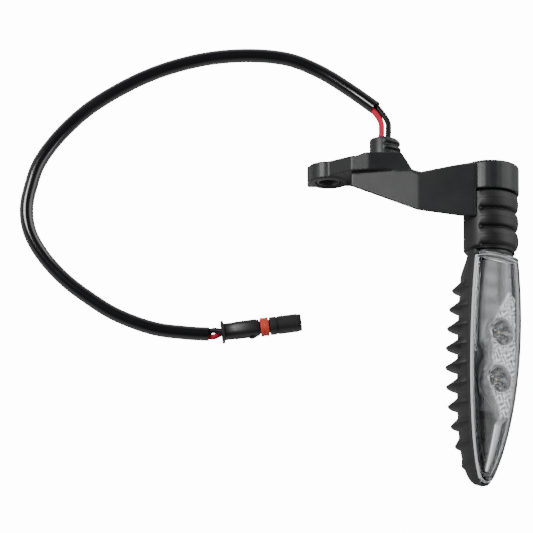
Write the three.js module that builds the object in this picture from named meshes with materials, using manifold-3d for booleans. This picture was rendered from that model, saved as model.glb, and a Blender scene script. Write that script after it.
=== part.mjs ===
// Motorcycle turn signal indicator: a finned LED lamp on a flexible rubber neck, a bent plastic arm
// with a screw foot, and a sleeved two-wire cable with a sealed plug. It lies on a table as laid out
// for sale: the lamp's long axis runs along Y with its tip towards -Y, and the cable lies to the left.
// Millimetres, +Z up. The origin is on the table, under the middle of the lamp and arm.
import * as THREE from 'three';
import { mergeVertices } from 'three/addons/utils/BufferGeometryUtils.js';
import Module from 'manifold-3d';

// ---- Driving dimensions ----------------------------------------------------------------------
const GAP = 0.3;                 // clearance between pieces that touch
const WIRE_RADIUS = 1.0;         // insulated 0.5 mm2 lead
const WIRE_PITCH = 2 * WIRE_RADIUS + 0.4;          // distance between the two leads

const AXIS_X = 26.9;             // axis of the lamp and neck
const AXIS_Z = 15.7;
const LAMP_TOP = 20.0;           // Y of the lamp's upper end
const LAMP_LENGTH = 82.4;
const LAMP_TURN = 40;            // degrees that the lens faces away from straight up
const LAMP_HALF_WIDTH = 10.8;    // of the lens edge, at its widest
const LAMP_TOP_HALF_WIDTH = 8.9;
const LAMP_WIDEST = 0.35;        // share of the length from the top
const RIM_RISE = 2.4;            // lens edge above the axis at the top
const RIM_FALL = 6.8;            // and how far it falls back by the tip
const BACK_DEPTH = 11.6;         // housing behind the lens edge
const BACK_TOP_SHARE = 0.62;     // depth at the neck, as a share of the full depth
const BACK_FULL_AT = 0.11;        // share of the lamp's length where the back is at its full depth
const BACK_POWER = 3;            // squareness of the housing's section
const LENS_RISE = 4.6;
const LENS_POWER = 2.4;
const HOUSING_WALL = 1.4;
const LENS_WALL = 1.6;
const RIM_LIP = 0.7;             // housing edge standing outside the lens

const FIN_COUNT = 10;
const FIN_PITCH = 6.9;
const FIN_FIRST = 6.9;           // Y of the first fin's tip
const FIN_HEIGHT = 3.6;
const FIN_PEAK = 3.6;            // place of the tallest fin, counted from the first
const FIN_REACH_UP = 6.7;        // fins from the tallest to where they would vanish, towards the top
const FIN_REACH_DOWN = 6.1;
const FIN_UPPER_RUN = 2.4;       // sloped upper side
const FIN_LOWER_RUN = 1.1;
const FIN_TIP_HALF = 0.35;
const FIN_FROM_RIM = 1.3;

const STEM_RADIUS = 5.6;         // the housing's hollow stem inside the neck
const STEM_TOP = 22.2;
const STEM_BORE = 3.6;
const STEM_FLANGE_RADIUS = 7.4;
const STEM_FLANGE = 1.0;         // thickness, half of it above the lamp's upper end
const LENS_START = LAMP_TOP - 1.2;
const BORE_RADIUS = 4.0;         // wire way through the stem and the arm's stub
const NECK_RADIUS = 9.7;
const NECK_BORE = 6.2;
const NECK_BOTTOM = LAMP_TOP + 0.5;
const NECK_TOP = 41.6;
const GROOVE_PITCH = 6.7;
const GROOVE_DEPTH = 1.1;
const GROOVE_WIDTH = 1.3;
const NECK_GROOVES = 3;
const CORE_RADIUS = 4.8;
const CORE_BORE = 2.9;
const CORE_BOTTOM = 24.8;
const CORE_TOP = 28.2;
const STUB_RADIUS = NECK_BORE - GAP;
const STUB_BOTTOM = 31.2;

const BARREL_RADIUS = 9.95;
const BARREL_TOP = 52.3;
const BARREL_CHAMFER = 0.8;
const FOOT_TOP = 55.2;           // Y of the mounting plane
const FOOT_THICKNESS = 5.6;
const FOOT_END_X = -37.2;
const FOOT_END_Z = 7.6;          // height of the foot's free end
const FOOT_TOP_Z = 21.4;         // and beside the spigot
const BOSS_X = -29.8;
const BOSS_RADIUS = 6.9;
const BOSS_PROUD = 0.6;
const SCREW_HOLE_RADIUS = 3.2;   // M6 clearance
const BUSH_WALL = 0.9;
const BUSH_INSET = 0.3;          // bush end below the foot's faces
const ARM_LEFT_X = -21.85;
const ARM_LEFT_Z = 18.0;
const CREASE_X = 1.5;
const CREASE_Z = 23.2;
const ARM_RIGHT_X = 21.5;
const ARM_RIGHT_Z = 24.6;
const UNDERCUT = 0.31;           // lean of the arm's lower side, per millimetre of height
const ARM_BEVEL = 1.4;           // along the arm's upper edge
const CHANNEL_RADIUS = 2.9;

const SHOULDER_Y = 56.2;         // of the arm around the spigot
const SPIGOT_X = -10.15;
const SPIGOT_Z = 10.5;
const SPIGOT_RADIUS = 5.25;
const SPIGOT_HEIGHT = 8.5;       // above the mounting plane
const SPIGOT_NECK_RADIUS = 4.75;
const SPIGOT_COLLAR_RADIUS = 6.4;
const BARB_RADII = [6.9, 5.8, 5.6];   // from the arm to the spigot's mouth
const GROMMET_DEPTH = 3.6;
const GROMMET_RADIUS = 3.7;

const CUP_RADIUS = 5.0;          // chrome cups around the two LEDs
const CUP_DEPTH = 4.4;
const GASKET_WIDTH = 0.6;
const GASKET_HEIGHT = 0.9;
const BEZEL_WIDTH = 3.4;         // of the dark band along the lamp's outer side
const CUP_YS = { upper: -7.8, lower: -25.0 };
const CUP_TO_LENS = 0.9;         // from a cup's wall to the lens's inside
const CUP_MOUTH = 2.3;           // above the lamp axis
const CUP_HOLE = 2.6;
const CUP_WALL = 0.6;
const BOARD_TOP = -4.9;
const BOARD_THICKNESS = 1.2;
const BOARD_TO_HOUSING = 0.35;
const BOARD_FROM = 6.5;
const BOARD_TO = -37.5;
const SPREADER_THICKNESS = 1.1;
const SPREADER_HALF_WIDTH = 4.4;
const SPREADER_FROM = -1.5;       // between the two board screws
const SPREADER_TO = -32;
const SCREW_YS = { upper: 3.0, lower: -34.0 };

const SLEEVE_RADIUS = 2.55;
const PLUG_AT = [-67.2, -4.5, 3.9];
const PLUG_TURN = 7.5;           // degrees about Z
const PLUG_FLANGE = { radius: 3.8, thickness: 1.0 };
const PLUG_BODY = { radius: 3.0, length: 13.4 };
const PLUG_SEAL = { radius: 3.2, length: 3.6 };
const PLUG_NOSE = { radius: 3.2, length: 11.2 };
const PLUG_CAVITY_RADIUS = 1.05;
const PLUG_PITCH = 2.5;

// Cable route: the sleeve's middle line from the lamp's end to the plug's end.
const SLEEVE_ROUTE = [
  [-13.3, 76.9, 6.4], [-22.6, 84.4, 4.4], [-33.0, 91.5, 2.9], [-44.7, 96.2, 2.6],
  [-59.8, 97.4, 2.6], [-76.0, 95.5, 2.6], [-93.5, 89.8, 2.6], [-110.8, 80.0, 2.6],
  [-122.4, 69.7, 2.6], [-130.6, 58.8, 2.6], [-134.1, 49.0, 2.6], [-135.5, 40.5, 2.6],
  [-134.1, 32.1, 2.6], [-129.4, 23.6, 2.6], [-122.4, 15.6, 2.6], [-114.3, 9.0, 2.6],
  [-103.9, 2.3, 2.6], [-91.1, -2.6, 2.6], [-79.5, -4.3, 2.7], [-71.6, -4.9, 3.1],
];

// ---- Solids ----------------------------------------------------------------------------------
const wasm = await Module();
wasm.setup();

function solid(geometry) {
  const bare = geometry.clone();
  bare.deleteAttribute('normal');
  bare.deleteAttribute('uv');
  const merged = mergeVertices(bare, 1e-4);
  return new wasm.Manifold(new wasm.Mesh({
    numProp: 3,
    vertProperties: new Float32Array(merged.attributes.position.array),
    triVerts: new Uint32Array(merged.index.array),
  }));
}

function geometryOf(manifold) {
  const mesh = manifold.getMesh();
  const geometry = new THREE.BufferGeometry();
  geometry.setAttribute('position', new THREE.BufferAttribute(mesh.vertProperties, 3));
  geometry.setIndex(new THREE.BufferAttribute(mesh.triVerts, 1));
  geometry.computeVertexNormals();
  return geometry;
}

// A straight rod along Y.
function rodY(radius, from, to, x, z, sides = 24) {
  const rod = new THREE.CylinderGeometry(radius, radius, Math.abs(to - from), sides);
  return rod.translate(x, (from + to) / 2, z);
}

// A body turned about a line parallel to Y; the profile is a list of [radius, y].
function turnedY(profile, x, z, sides = 28) {
  const points = profile.map(([r, y]) => new THREE.Vector2(r, y));
  return new THREE.LatheGeometry(points, sides).translate(x, 0, z);
}

function boxFromTo(low, high) {
  const size = high.map((value, i) => value - low[i]);
  const middle = high.map((value, i) => (value + low[i]) / 2);
  return new THREE.BoxGeometry(...size).translate(...middle);
}

function shapeOf(points) {
  return new THREE.Shape(points.map(([x, y]) => new THREE.Vector2(x, y)));
}

// A prism whose section lies in XY and which runs from z = low to z = high.
function prismZ(points, low, high) {
  const options = { depth: high - low, bevelEnabled: false };
  return new THREE.ExtrudeGeometry(shapeOf(points), options).translate(0, 0, low);
}

// A prism whose section lies in XZ (points are [x, z]) and which runs from y = low to y = high.
function prismY(points, low, high) {
  const options = { depth: high - low, bevelEnabled: false };
  const body = new THREE.ExtrudeGeometry(shapeOf(points.map(([x, z]) => [x, -z])), options);
  return body.rotateX(-Math.PI / 2).translate(0, low, 0);
}

// A tube along a smooth curve through points.
function tube(points, radius, sides, steps) {
  const path = new THREE.CatmullRomCurve3(points.map((p) => new THREE.Vector3(...p)));
  const corners = Array.from({ length: sides }, (_, i) => {
    const angle = (2 * Math.PI * i) / sides;
    return [radius * Math.cos(angle), radius * Math.sin(angle)];
  });
  return new THREE.ExtrudeGeometry(shapeOf(corners), { steps, extrudePath: path });
}

// An extrusion whose section and place change along it: the outline's points and the share of the
// length go to place(), which gives [x, y, z] in the lamp's frame.
function loft(outline, steps, place) {
  const body = new THREE.ExtrudeGeometry(shapeOf(outline), { depth: 1, steps, bevelEnabled: false });
  const position = body.attributes.position;
  for (let i = 0; i < position.count; i += 1) {
    position.setXYZ(i, ...place(position.getX(i), position.getY(i), position.getZ(i)));
  }
  return body;
}

function ease(t) {
  const held = Math.min(1, Math.max(0, t));
  return held * held * (3 - 2 * held);
}

// ---- The lamp's outline, as functions of the share of its length from the top -----------------
const shareAt = (y) => (LAMP_TOP - y) / LAMP_LENGTH;
const yAt = (share) => LAMP_TOP - LAMP_LENGTH * share;

function rimHalfWidth(share) {
  if (share < LAMP_WIDEST) {
    const towardsTop = (LAMP_WIDEST - share) / LAMP_WIDEST;
    return LAMP_HALF_WIDTH - (LAMP_HALF_WIDTH - LAMP_TOP_HALF_WIDTH) * towardsTop ** 2;
  }
  const towardsTip = (share - LAMP_WIDEST) / (1 - LAMP_WIDEST);
  return 0.9 + (LAMP_HALF_WIDTH - 0.9) * Math.max(0, 1 - towardsTip ** 2) ** 0.68;
}

const rimHeight = (share) => RIM_RISE - RIM_FALL * share ** 2.2;

function backDepth(share) {
  const atTop = BACK_TOP_SHARE + (1 - BACK_TOP_SHARE) * ease(share / BACK_FULL_AT);
  return 1.2 + (BACK_DEPTH - 1.2) * atTop * Math.sqrt(Math.max(0, 1 - share ** 8));
}

const lensRise = (share) => 0.6 + (LENS_RISE - 0.6) * Math.sqrt(Math.max(0, 1 - share ** 5));

// Half of a superellipse: below the line between its ends when side is -1, above when it is 1.
function halfOval(count, power, side) {
  return Array.from({ length: count + 1 }, (_, i) => {
    const angle = (Math.PI * i) / count;
    const across = Math.cos(angle);
    return [
      Math.sign(across) * Math.abs(across) ** (2 / power),
      side * Math.abs(Math.sin(angle)) ** (2 / power),
    ];
  });
}

// Half of the room inside the housing at a depth below the rim, and inside the lens at a height.
function roomInHousing(y, height) {
  const share = shareAt(y);
  const below = (rimHeight(share) - height) / (backDepth(share) - HOUSING_WALL);
  return (rimHalfWidth(share) - HOUSING_WALL) * (1 - below ** BACK_POWER) ** (1 / BACK_POWER);
}

function roomInLens(y, height) {
  const share = shareAt(y);
  const above = Math.max(0, (height - rimHeight(share) - GAP) / (lensRise(share) - LENS_WALL));
  return (rimHalfWidth(share) - LENS_WALL) * (1 - above ** LENS_POWER) ** (1 / LENS_POWER);
}

// The cups stand as near the lens's inner side as they may.
const CUPS = Object.entries(CUP_YS).map(([name, y]) => (
  { name, y, across: roomInLens(y, CUP_MOUTH) - CUP_RADIUS - CUP_WALL - CUP_TO_LENS }
));
const boardBottom = BOARD_TOP - BOARD_THICKNESS;
const boardHalfWidth = Math.min(roomInHousing(BOARD_FROM, boardBottom), roomInHousing(BOARD_TO, boardBottom))
  - BOARD_TO_HOUSING;
const spreaderTop = boardBottom - GAP;
const spreaderHalfWidth = Math.min(SPREADER_HALF_WIDTH,
  roomInHousing(SPREADER_TO, spreaderTop - SPREADER_THICKNESS) - BOARD_TO_HOUSING);

const TROUGH = halfOval(12, BACK_POWER, -1);
const ARCH = halfOval(12, LENS_POWER, 1);
const OPEN_TROUGH = [...TROUGH, [-1, 1], [1, 1]];   // with sides carried up past the rim
const OPEN_ARCH = [...ARCH, [-1, -1], [1, -1]];
const SLAB = [[-1, 0], [1, 0], [1, -1], [-1, -1]];

// A body that follows the housing's inside or outside, inset by a wall.
function trough(outline, steps, inset, from, to, lift) {
  return loft(outline, steps, (x, y, t) => {
    const share = from + (to - from) * (1 - (1 - t) ** 1.4);
    const half = Math.max(0.3, rimHalfWidth(share) - inset);
    const depth = Math.max(0.4, backDepth(share) - Math.max(0, inset));
    const height = y > 0 ? y * lift : y * depth;
    return [x * half, yAt(share), rimHeight(share) + height];
  });
}

function arch(outline, steps, inset, from, to, drop) {
  return loft(outline, steps, (x, y, t) => {
    const share = from + (to - from) * (1 - (1 - t) ** 1.4);
    const half = Math.max(0.3, rimHalfWidth(share) - inset);
    const rise = Math.max(0.3, lensRise(share) - inset);
    const height = y < 0 ? y * drop : y * rise;
    return [x * half, yAt(share), rimHeight(share) + GAP + height];
  });
}

// A plate that follows the lens edge: inset from it, from one height to a lower one.
function rimPlate(inset, high, low, steps, from, to) {
  return loft(SLAB, steps, (x, y, t) => {
    const share = from + (to - from) * (1 - (1 - t) ** 1.4);
    const half = Math.max(0.5, rimHalfWidth(share) - inset);
    return [x * half, yAt(share), rimHeight(share) + high + y * (high - low)];
  });
}

// One cooling fin: a thin ring around the back that fades out towards the lens edge.
function fin(index) {
  const tip = FIN_FIRST - FIN_PITCH * index;
  const reach = index < FIN_PEAK ? FIN_REACH_UP : FIN_REACH_DOWN;
  const height = FIN_HEIGHT * Math.cos((Math.PI / 2) * ((index - FIN_PEAK) / reach));
  const offsets = [FIN_UPPER_RUN, FIN_TIP_HALF, -FIN_TIP_HALF, -FIN_LOWER_RUN];
  const heights = [-HOUSING_WALL / 2, height, height, -HOUSING_WALL / 2];
  return loft(TROUGH, 3, (x, y, t) => {
    const step = Math.round(3 * t);
    const yHere = tip + offsets[step];
    const share = shareAt(yHere);
    const out = heights[step] * Math.min(1, 1.6 * Math.abs(y));
    const half = rimHalfWidth(share) + RIM_LIP + out;
    const depth = backDepth(share) - FIN_FROM_RIM + out;
    return [x * half, yHere, rimHeight(share) - FIN_FROM_RIM + y * depth];
  });
}

// ---- Pieces ------------------------------------------------------------------------------------
const FINISHES = {
  blackPlastic: { color: 0x17181a, roughness: 0.55, metalness: 0 },
  blackRubber: { color: 0x141416, roughness: 0.75, metalness: 0 },
  clearLens: { color: 0xe6ecef, roughness: 0.05, metalness: 0, transparent: true, opacity: 0.35 },
  chrome: { color: 0xc9ccd0, roughness: 0.12, metalness: 1 },
  aluminium: { color: 0xa9adb2, roughness: 0.4, metalness: 1 },
  darkSteel: { color: 0x3b3d40, roughness: 0.4, metalness: 1 },
  boardMask: { color: 0x1f5a35, roughness: 0.5, metalness: 0 },
  ledCeramic: { color: 0xe9d9a0, roughness: 0.5, metalness: 0 },
  brass: { color: 0xb08d4a, roughness: 0.35, metalness: 1 },
  redInsulation: { color: 0xd8243f, roughness: 0.4, metalness: 0 },
  blackInsulation: { color: 0x121213, roughness: 0.4, metalness: 0 },
  glossVinyl: { color: 0x0d0d0e, roughness: 0.22, metalness: 0 },
  orangeSeal: { color: 0xd63a1e, roughness: 0.5, metalness: 0 },
};

function piece(name, geometry, finish) {
  const mesh = new THREE.Mesh(geometry, new THREE.MeshStandardMaterial(FINISHES[finish]));
  mesh.name = name;
  return mesh;
}

const assembly = new THREE.Group();
const lamp = new THREE.Group();
lamp.position.set(AXIS_X, 0, AXIS_Z);
lamp.rotation.y = THREE.MathUtils.degToRad(LAMP_TURN);
assembly.add(lamp);

// A rod on the neck's axis.
const neckRod = (radius, from, to, sides) => rodY(radius, from, to, AXIS_X, AXIS_Z, sides);

// The path of the leads through the arm, from the spigot to the stub.
const ARM_ROUTE = [
  [SPIGOT_X, FOOT_TOP + SPIGOT_HEIGHT - GROMMET_DEPTH, SPIGOT_Z],
  [SPIGOT_X, FOOT_TOP - 2, SPIGOT_Z],
  [SPIGOT_X + 2.5, FOOT_TOP - 9.5, SPIGOT_Z + 0.8],
  [CREASE_X, 43.5, 13.5],
  [14, 43.5, 15.0],
  [AXIS_X - 5, 44.6, AXIS_Z],
  [AXIS_X - 1, 43.0, AXIS_Z],
  [AXIS_X, 38.5, AXIS_Z],
  [AXIS_X, STUB_BOTTOM + 0.5, AXIS_Z],
];

// A prism like prismZ whose sides lean: each point is [x, y, lean, height], and its y falls by `lean`
// for each millimetre that z rises above `height`.
function leaningPrism(points, low, high) {
  const body = prismZ(points, low, high);
  const position = body.attributes.position;
  for (let i = 0; i < position.count; i += 1) {
    const [x, y, z] = [position.getX(i), position.getY(i), position.getZ(i)];
    const [, , lean, height] = points.find((p) => Math.hypot(p[0] - x, p[1] - y) < 1e-3);
    position.setY(i, y + lean * (height - z));
  }
  return body;
}

const footBottom = FOOT_TOP - FOOT_THICKNESS;
const spigotTop = FOOT_TOP + SPIGOT_HEIGHT;

// The plate with the screw hole; it carries the spigot at its right end.
function foot() {
  const outline = [
    [FOOT_END_X, footBottom], [-1.2, footBottom], [-0.8, 50.4], [-2.6, 53.4], [-4.4, SHOULDER_Y],
    [-17.0, SHOULDER_Y], [-20.0, FOOT_TOP], [FOOT_END_X, FOOT_TOP],
  ];
  const heights = [
    [FOOT_END_X + 1, 0], [0, 4], [0, FOOT_TOP_Z], [-15.7, FOOT_TOP_Z], [ARM_LEFT_X, 20.2],
    [FOOT_END_X, FOOT_END_Z], [FOOT_END_X, 1],
  ];
  return solid(prismZ(outline, -1, 30)).intersect(solid(prismY(heights, 40, 60)));
}

// The bent arm from the foot to the neck: an undercut lower side and a bevelled upper edge.
function reach() {
  const lower = [
    [ARM_LEFT_X, 44.6, UNDERCUT, ARM_LEFT_Z], [CREASE_X, 34.2, UNDERCUT, CREASE_Z],
    [16.6, 31.6, UNDERCUT, ARM_RIGHT_Z], [ARM_RIGHT_X, 31.6, UNDERCUT, ARM_RIGHT_Z],
  ];
  const upper = [
    [ARM_RIGHT_X, 52.0, ARM_RIGHT_Z], [14, 50.8, ARM_RIGHT_Z], [2.4, 48.8, CREASE_Z],
    [-0.8, 49.8, CREASE_Z], [ARM_LEFT_X, 51.0, ARM_LEFT_Z],
  ];
  const upright = upper.map(([x, y, z]) => [x, y, 0, z]);
  const bevelled = upper.map(([x, y, z]) => [x, y, 1, z - ARM_BEVEL]);
  const heights = [
    [ARM_LEFT_X, 0.6], [CREASE_X, 6.6], [15, 6.8], [AXIS_X, 6.4],
    [AXIS_X, ARM_RIGHT_Z], [ARM_RIGHT_X, ARM_RIGHT_Z], [CREASE_X, CREASE_Z], [ARM_LEFT_X, ARM_LEFT_Z],
  ];
  return solid(leaningPrism([...lower, ...upright], -1, 30))
    .intersect(solid(leaningPrism([...lower, ...bevelled], -1, 30)))
    .intersect(solid(prismY(heights, 25, 60)));
}

// Round, with a collar and three barbs on its right side; the left side is smooth.
function spigot() {
  const profile = [
    [0, 50], [SPIGOT_COLLAR_RADIUS, 50], [SPIGOT_COLLAR_RADIUS, FOOT_TOP + 0.4],
    [SPIGOT_NECK_RADIUS, FOOT_TOP + 1.2],
  ];
  BARB_RADII.forEach((radius, i) => {
    const y = FOOT_TOP + 1.5 + 2.35 * i;
    profile.push([SPIGOT_NECK_RADIUS, y], [radius, y + 0.4]);
    profile.push([radius, y + 1.3], [SPIGOT_NECK_RADIUS, y + 1.8]);
  });
  profile.push([SPIGOT_NECK_RADIUS, spigotTop], [0, spigotTop]);
  const barbed = solid(turnedY(profile, SPIGOT_X, SPIGOT_Z, 28))
    .subtract(solid(boxFromTo([SPIGOT_X - 10, FOOT_TOP, 0], [SPIGOT_X, spigotTop + 1, 30])));
  const smooth = solid(rodY(SPIGOT_RADIUS, 52, spigotTop, SPIGOT_X, SPIGOT_Z, 28))
    .intersect(solid(boxFromTo([SPIGOT_X - 10, 50, 0], [SPIGOT_X + 0.6, 70, 30])));
  return barbed.add(smooth);
}

function mountingArm() {
  const barrel = turnedY([
    [0, NECK_TOP + GAP], [BARREL_RADIUS, NECK_TOP + GAP], [BARREL_RADIUS, BARREL_TOP - BARREL_CHAMFER],
    [BARREL_RADIUS - BARREL_CHAMFER, BARREL_TOP], [0, BARREL_TOP],
  ], AXIS_X, AXIS_Z, 32);
  const boss = rodY(BOSS_RADIUS, footBottom - BOSS_PROUD, FOOT_TOP, BOSS_X, BOSS_RADIUS, 28);
  const grommetSeat = rodY(GROMMET_RADIUS + GAP, spigotTop - GROMMET_DEPTH - GAP, spigotTop + 1,
    SPIGOT_X, SPIGOT_Z, 20);
  const bushSeat = rodY(SCREW_HOLE_RADIUS + BUSH_WALL + GAP, footBottom - BOSS_PROUD - 1, FOOT_TOP + 1,
    BOSS_X, BOSS_RADIUS, 24);
  return geometryOf(reach()
    .subtract(solid(neckRod(NECK_RADIUS + GAP, NECK_BOTTOM - 2, NECK_TOP + GAP, 32)))
    .add(foot())
    .add(solid(barrel))
    .add(solid(neckRod(STUB_RADIUS, STUB_BOTTOM, NECK_TOP + 1, 24)))
    .add(solid(boss))
    .add(spigot())
    .subtract(solid(neckRod(BORE_RADIUS, STUB_BOTTOM - 1, 46, 20)))
    .subtract(solid(tube(ARM_ROUTE, CHANNEL_RADIUS, 10, 22)))
    .subtract(solid(grommetSeat))
    .subtract(solid(bushSeat)));
}

function ring(outer, inner, from, to, x, z, sides) {
  return turnedY([[inner, from], [outer, from], [outer, to], [inner, to], [inner, from]], x, z, sides);
}

// Both leads keep side by side across the route, one on each side of its middle.
function besideRoute(route, side, direction) {
  return route.map(([x, y, z]) => [
    x + (side * WIRE_PITCH * direction[0]) / 2,
    y + (side * WIRE_PITCH * direction[1]) / 2,
    z + (side * WIRE_PITCH * direction[2]) / 2,
  ]);
}

const SIDES_OF = { red: -1, black: 1 };
const ACROSS_ARM = [0, 0, 1];

assembly.add(piece('mounting_arm', mountingArm(), 'blackPlastic'));
const bush = ring(SCREW_HOLE_RADIUS + BUSH_WALL, SCREW_HOLE_RADIUS, footBottom - BOSS_PROUD + BUSH_INSET,
  FOOT_TOP - BUSH_INSET, BOSS_X, BOSS_RADIUS, 24);
assembly.add(piece('screw_bush', bush, 'darkSteel'));

function wireGrommet() {
  const top = spigotTop - 0.4;
  let body = solid(rodY(GROMMET_RADIUS, top - GROMMET_DEPTH + GAP, top, SPIGOT_X, SPIGOT_Z, 20));
  for (const side of Object.values(SIDES_OF)) {
    const x = SPIGOT_X + (side * WIRE_PITCH) / 2;
    body = body.subtract(solid(rodY(WIRE_RADIUS + GAP, top - GROMMET_DEPTH - 1, top + 1, x, SPIGOT_Z, 10)));
  }
  return geometryOf(body);
}
assembly.add(piece('wire_grommet', wireGrommet(), 'blackRubber'));

for (const [colour, side] of Object.entries(SIDES_OF)) {
  const inner = besideRoute(ARM_ROUTE, side, ACROSS_ARM);
  inner[0][1] -= 0.7;
  inner[inner.length - 1][1] = STUB_BOTTOM + 1.1;
  assembly.add(piece(`arm_lead_${colour}`, tube(inner, WIRE_RADIUS, 8, 20), `${colour}Insulation`));
}

// ---- Flexible neck ------------------------------------------------------------------------------
function neckBoot() {
  const profile = [
    [NECK_BORE, NECK_BOTTOM], [NECK_RADIUS - 0.9, NECK_BOTTOM], [NECK_RADIUS, NECK_BOTTOM + 0.7],
  ];
  for (let i = NECK_GROOVES - 1; i >= 0; i -= 1) {
    const y = NECK_TOP - GROOVE_PITCH * (i + 1);
    profile.push([NECK_RADIUS, y - GROOVE_WIDTH / 2]);
    profile.push([NECK_RADIUS - GROOVE_DEPTH, y]);
    profile.push([NECK_RADIUS, y + GROOVE_WIDTH / 2]);
  }
  profile.push([NECK_RADIUS, NECK_TOP - 0.5]);
  profile.push([NECK_RADIUS - 0.5, NECK_TOP]);
  profile.push([NECK_BORE, NECK_TOP]);
  profile.push([NECK_BORE, NECK_BOTTOM]);
  return turnedY(profile, AXIS_X, AXIS_Z, 32);
}
assembly.add(piece('neck_boot', neckBoot(), 'blackRubber'));
const core = ring(CORE_RADIUS, CORE_BORE, CORE_BOTTOM, CORE_TOP, AXIS_X, AXIS_Z, 20);
assembly.add(piece('neck_core', core, 'blackRubber'));
for (const [colour, side] of Object.entries(SIDES_OF)) {
  const z = AXIS_Z + (side * WIRE_PITCH) / 2;
  const lead = rodY(WIRE_RADIUS, STEM_TOP - 0.6, STUB_BOTTOM + 0.6, AXIS_X, z, 8);
  assembly.add(piece(`neck_lead_${colour}`, lead, `${colour}Insulation`));
}

// ---- Lamp head ----------------------------------------------------------------------------------
function rearHousing() {
  let body = solid(trough(TROUGH, 16, -RIM_LIP, 0, 1, 0));
  for (let i = 0; i < FIN_COUNT; i += 1) {
    body = body.add(solid(fin(i)));
  }
  const table = boxFromTo([-60, -90, -60], [60, 40, 0]);
  table.translate(0, 0, -AXIS_Z).rotateY(-lamp.rotation.y);
  const collar = turnedY([
    [0, LAMP_TOP - STEM_FLANGE + 0.2], [STEM_FLANGE_RADIUS, LAMP_TOP - STEM_FLANGE + 0.2],
    [STEM_FLANGE_RADIUS, LAMP_TOP + 0.2], [STEM_RADIUS, LAMP_TOP + 0.2],
    [STEM_RADIUS, STEM_TOP], [0, STEM_TOP],
  ], 0, 0, 24);
  return geometryOf(body
    .add(solid(collar))
    .subtract(solid(trough(OPEN_TROUGH, 12, HOUSING_WALL, shareAt(LAMP_TOP - HOUSING_WALL), 0.975, 2)))
    .subtract(solid(rodY(STEM_BORE, LAMP_TOP - 2, STEM_TOP + 1, 0, 0, 16)))
    .subtract(solid(table)));
}

function lens() {
  return geometryOf(solid(arch(ARCH, 16, 0, shareAt(LENS_START), 0.99, 0))
    .subtract(solid(arch(OPEN_ARCH, 12, LENS_WALL, shareAt(LENS_START - LENS_WALL), 0.965, 2))));
}

function lensGasket() {
  const from = LAMP_TOP - HOUSING_WALL - GAP - 0.1;
  const inset = HOUSING_WALL + GAP;
  const outer = rimPlate(inset, 0, -GASKET_HEIGHT, 18, shareAt(from), 0.955);
  const inner = rimPlate(inset + GASKET_WIDTH, 1, -2, 18, shareAt(from - GASKET_WIDTH), 0.945);
  return geometryOf(solid(outer).subtract(solid(inner)));
}

function cup(across, y, radius, mouth, depth, sides) {
  const bowl = new THREE.LatheGeometry([
    new THREE.Vector2(0, -depth), new THREE.Vector2(CUP_HOLE, -depth),
    new THREE.Vector2(radius * 0.82, -depth * 0.45), new THREE.Vector2(radius, 0), new THREE.Vector2(0, 0),
  ], sides);
  return bowl.rotateX(Math.PI / 2).translate(across, y, mouth);
}

function reflector() {
  const from = shareAt(LAMP_TOP - HOUSING_WALL - 0.8);
  let body = solid(rimPlate(HOUSING_WALL + 1.0, -1.3, -2.3, 18, from, 0.945));
  for (const { across, y } of CUPS) {
    body = body.add(solid(cup(across, y, CUP_RADIUS + CUP_WALL, CUP_MOUTH, CUP_DEPTH + 0.2, 24)));
  }
  for (const { across, y } of CUPS) {
    body = body.subtract(solid(cup(across, y, CUP_RADIUS, CUP_MOUTH + 0.01, CUP_DEPTH, 24)));
    const hole = new THREE.CylinderGeometry(CUP_HOLE, CUP_HOLE, 6, 16);
    body = body.subtract(solid(hole.rotateX(Math.PI / 2).translate(across, y, CUP_MOUTH - CUP_DEPTH)));
  }
  return geometryOf(body);
}

function bezel() {
  const inset = HOUSING_WALL + GASKET_WIDTH + 3 * GAP;
  const outer = rimPlate(inset, 0.2, -0.9, 18, shareAt(LAMP_TOP - inset), 0.925);
  const opening = loft(SLAB, 18, (x, y, t) => {
    const share = 0.06 + 0.8 * t;
    const left = Math.max(0.5, rimHalfWidth(share) - inset - BEZEL_WIDTH);
    const right = rimHalfWidth(share) + 1;
    return [x > 0 ? right : -left, yAt(share), rimHeight(share) + 2 + 4 * y];
  });
  let body = solid(outer).subtract(solid(opening));
  for (const { across, y } of CUPS) {
    const hole = new THREE.CylinderGeometry(CUP_RADIUS + CUP_WALL + GAP, CUP_RADIUS + CUP_WALL + GAP, 12, 24);
    body = body.subtract(solid(hole.rotateX(Math.PI / 2).translate(across, y, 0)));
  }
  return geometryOf(body);
}

function circuitBoard() {
  const half = boardHalfWidth;
  let body = solid(boxFromTo([-half, BOARD_TO, boardBottom], [half, BOARD_FROM, BOARD_TOP]));
  for (const y of Object.values(SCREW_YS)) {
    const hole = new THREE.CylinderGeometry(1.1 + GAP, 1.1 + GAP, 6, 12);
    body = body.subtract(solid(hole.rotateX(Math.PI / 2).translate(0, y, BOARD_TOP)));
  }
  return geometryOf(body);
}

function heatSpreader() {
  return boxFromTo([-spreaderHalfWidth, SPREADER_TO, spreaderTop - SPREADER_THICKNESS],
    [spreaderHalfWidth, SPREADER_FROM, spreaderTop]);
}

function boardScrew(y) {
  const screw = new THREE.LatheGeometry([
    new THREE.Vector2(0, -1.5), new THREE.Vector2(1.1, -1.5), new THREE.Vector2(1.1, GAP),
    new THREE.Vector2(1.9, GAP), new THREE.Vector2(1.9, 1.0), new THREE.Vector2(0, 1.3),
  ], 14);
  return screw.rotateX(Math.PI / 2).translate(0, y, BOARD_TOP);
}

function led(across, y) {
  const base = boxFromTo([across - 1.6, y - 1.6, BOARD_TOP + GAP], [across + 1.6, y + 1.6, BOARD_TOP + 1.0]);
  const dome = new THREE.SphereGeometry(1.0, 12, 8).translate(across, y, BOARD_TOP + 1.4);
  return geometryOf(solid(base).add(solid(dome)));
}

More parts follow.
